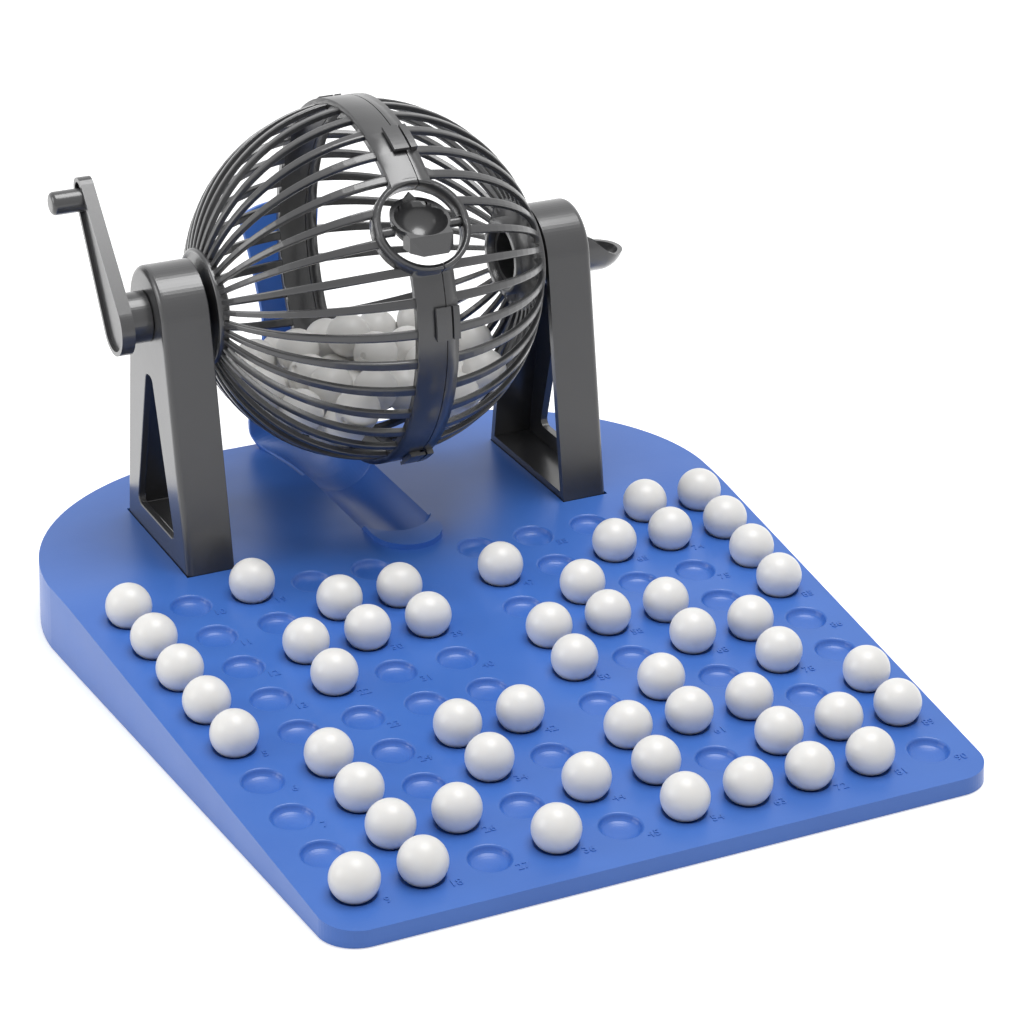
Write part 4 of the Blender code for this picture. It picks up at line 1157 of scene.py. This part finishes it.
def ball_mesh():
    """A ball with the small round pit that its mould leaves at its bottom."""
    start = math.asin(PIT_RADIUS / BALL_RADIUS)
    profile = [(0, BALL_RADIUS)]
    for step in range(1, BALL_STEPS + 1):
        polar = (math.pi - start) * step / BALL_STEPS
        profile.append((BALL_RADIUS * math.sin(polar), BALL_RADIUS * math.cos(polar)))
    floor = -BALL_RADIUS + PIT_DEPTH
    profile += [(PIT_RADIUS * PIT_FLOOR_SHARE, floor), (0, floor)]
    source = turned("ball_form", profile, Matrix.Identity(4), BALL_SIDES)
    source.modifiers["turn"].use_normal_calculate = True
    graph = bpy.context.evaluated_depsgraph_get()
    mesh = bpy.data.meshes.new_from_object(source.evaluated_get(graph))
    bm = bmesh.new()
    bm.from_mesh(mesh)
    bmesh.ops.recalc_face_normals(bm, faces=bm.faces)
    bm.to_mesh(mesh)
    bm.free()
    mesh.name = "ball"
    mesh.materials.clear()
    mesh.materials.append(white)
    mesh.shade_smooth()
    mesh.set_sharp_from_angle(angle=SMOOTH_ANGLE)
    return mesh


def ball_at(name, mesh, place, *nodes):
    """A ball of its own name that shares the one mesh."""
    ball = linked(name, mesh)
    ball.matrix_world = place
    return dressed(ball, "base", white, *nodes)


def settled_pile(count):
    """Centres of balls shaken down into the cage, clear of the path of the turning outlet ring."""
    chance = np.random.default_rng(PILE_SEED)
    gap = 2 * BALL_RADIUS + PILE_BALL_GAP
    limit = CAGE_RADIUS - RIB_THICKNESS - BALL_RADIUS - PILE_CAGE_GAP
    points = chance.uniform(-CAGE_RADIUS / 2, CAGE_RADIUS / 2, (count, 3))
    points[:, 2] -= CAGE_RADIUS / 4
    for turn in range(PILE_TURNS):
        calm = turn / PILE_TURNS
        if calm < PILE_SHAKEN_SHARE:
            shake = PILE_SHAKE * (1 - calm / PILE_SHAKEN_SHARE)
            points += chance.normal(0, shake, points.shape)
        points[:, 2] -= PILE_DROP * (1 - calm) + PILE_LAST_DROP
        for _ in range(PILE_PUSHES):
            steps = points[:, None] - points[None]
            length = np.linalg.norm(steps, axis=2) + np.eye(count)
            push = np.clip(gap - length, 0, None) * (1 - np.eye(count))
            points += (steps / length[..., None] * push[..., None]).sum(axis=1) / 2
            reach = np.linalg.norm(points, axis=1)
            points -= points / reach[:, None] * np.clip(reach - limit, 0, None)[:, None]
            radial = np.hypot(points[:, 1], points[:, 2])
            away = np.stack([points[:, 0], radial - RING_PATH_RADIUS], axis=1)
            distance = np.linalg.norm(away, axis=1)
            lack = np.clip(RING_PATH_KEEP - distance, 0, None)
            move = away / distance[:, None] * lack[:, None]
            points[:, 0] += move[:, 0]
            points[:, 1:] += points[:, 1:] / radial[:, None] * move[:, 1][:, None]
    return points


def make_balls():
    mesh = ball_mesh()
    tilt = Matrix.Rotation(SLOPE_ANGLE, 4, "X")
    drawn = [node for node in frame["nodes"] if node.startswith("ball_column_")]
    for node in drawn:
        low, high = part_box(node)
        place = Matrix.Translation((low + high) / 2) @ tilt
        ball_at(node.replace("ball_column", "drawn_ball"), mesh, place, node)
    left = BALLS_IN_GAME - len(drawn)
    chance = np.random.default_rng(PILE_TURN_SEED)
    for number, point in enumerate(settled_pile(left)):
        turn = Matrix.Rotation(chance.uniform(0, 6), 4, "Z")
        turn = turn @ Matrix.Rotation(chance.uniform(0, 3), 4, "X")
        place = Matrix.Translation(AXLE + Vector(point)) @ turn
        ball_at(f"caged_ball_{number + 1}", mesh, place)


# Stage

def seen_rays(tree, base, extra):
    """A strength of base, with extra added for what the camera and reflections see."""
    path = tree.nodes.new("ShaderNodeLightPath")
    total = path.outputs["Is Camera Ray"]
    for other in ("Is Glossy Ray", "Is Transmission Ray"):
        add = tree.nodes.new("ShaderNodeMath")
        add.operation = "ADD"
        add.use_clamp = True
        tree.links.new(total, add.inputs[0])
        tree.links.new(path.outputs[other], add.inputs[1])
        total = add.outputs[0]
    scaled = tree.nodes.new("ShaderNodeMath")
    scaled.operation = "MULTIPLY_ADD"
    scaled.inputs[1].default_value = extra
    scaled.inputs[2].default_value = base
    tree.links.new(total, scaled.inputs[0])
    return scaled.outputs[0]


def make_stage():
    """The pale floor. The game's shadow falls on it, and its own glow keeps it near white."""
    bpy.ops.mesh.primitive_plane_add(size=FLOOR_SIZE, location=(0, 0, FLOOR_Z))
    floor = bpy.context.object
    floor.name = "floor"
    material, tree, shader = new_material("floor")
    place = tree.nodes.new("ShaderNodeTexCoord").outputs["Object"]
    clouds = spread(tree, noise(tree, place, FLOOR_CLOUD_SCALE), 0, 1)
    tree.links.new(mixed(tree, clouds, *FLOOR_SHADES), shader.inputs["Base Color"])
    shader.inputs["Roughness"].default_value = FLOOR_ROUGHNESS
    shader.inputs["Emission Color"].default_value = (1, 1, 1, 1)
    tree.links.new(seen_rays(tree, 0, FLOOR_GLOW), shader.inputs["Emission Strength"])
    floor.data.materials.append(material)


def area_light(name, place, size, power):
    """A round softbox that faces the game."""
    lamp = bpy.data.lights.new(name, "AREA")
    lamp.shape = "DISK"
    lamp.size = size
    lamp.energy = power
    holder = linked(name, lamp)
    holder.location = place
    toward = Vector(LIGHT_TARGET) - Vector(place)
    holder.rotation_euler = toward.to_track_quat("-Z", "Y").to_euler()


def make_lights():
    area_light("top_softbox", (0.2, -0.05, 1.35), size=0.9, power=13)
    area_light("side_softbox", (-1.3, 0.3, 0.6), size=0.8, power=5)
    world = bpy.data.worlds.new("studio")
    world.use_nodes = True
    tree = world.node_tree
    background = tree.nodes["Background"]
    background.inputs["Color"].default_value = (1, 1, 1, 1)
    tree.links.new(seen_rays(tree, WORLD_LIGHT, 1 - WORLD_LIGHT), background.inputs["Strength"])
    bpy.context.scene.world = world


def make_camera():
    camera = bpy.data.cameras.new("camera")
    camera.lens = CAMERA_LENS
    camera.sensor_width = CAMERA_SENSOR
    camera.clip_start = CAMERA_CLIP_START
    holder = linked("camera", camera)
    holder.location = CAMERA_PLACE
    holder.rotation_euler = CAMERA_TURN
    bpy.context.scene.camera = holder


make_tray()
make_numbers()
make_slide()
make_crank_stand()
make_spout_stand()
make_cage()
make_cup()
make_crank()
make_balls()
for tool in construction:
    bpy.data.objects.remove(tool)
make_stage()
make_lights()
make_camera()
bpy.context.scene.view_settings.view_transform = "Standard"

bpy.context.view_layer.update()
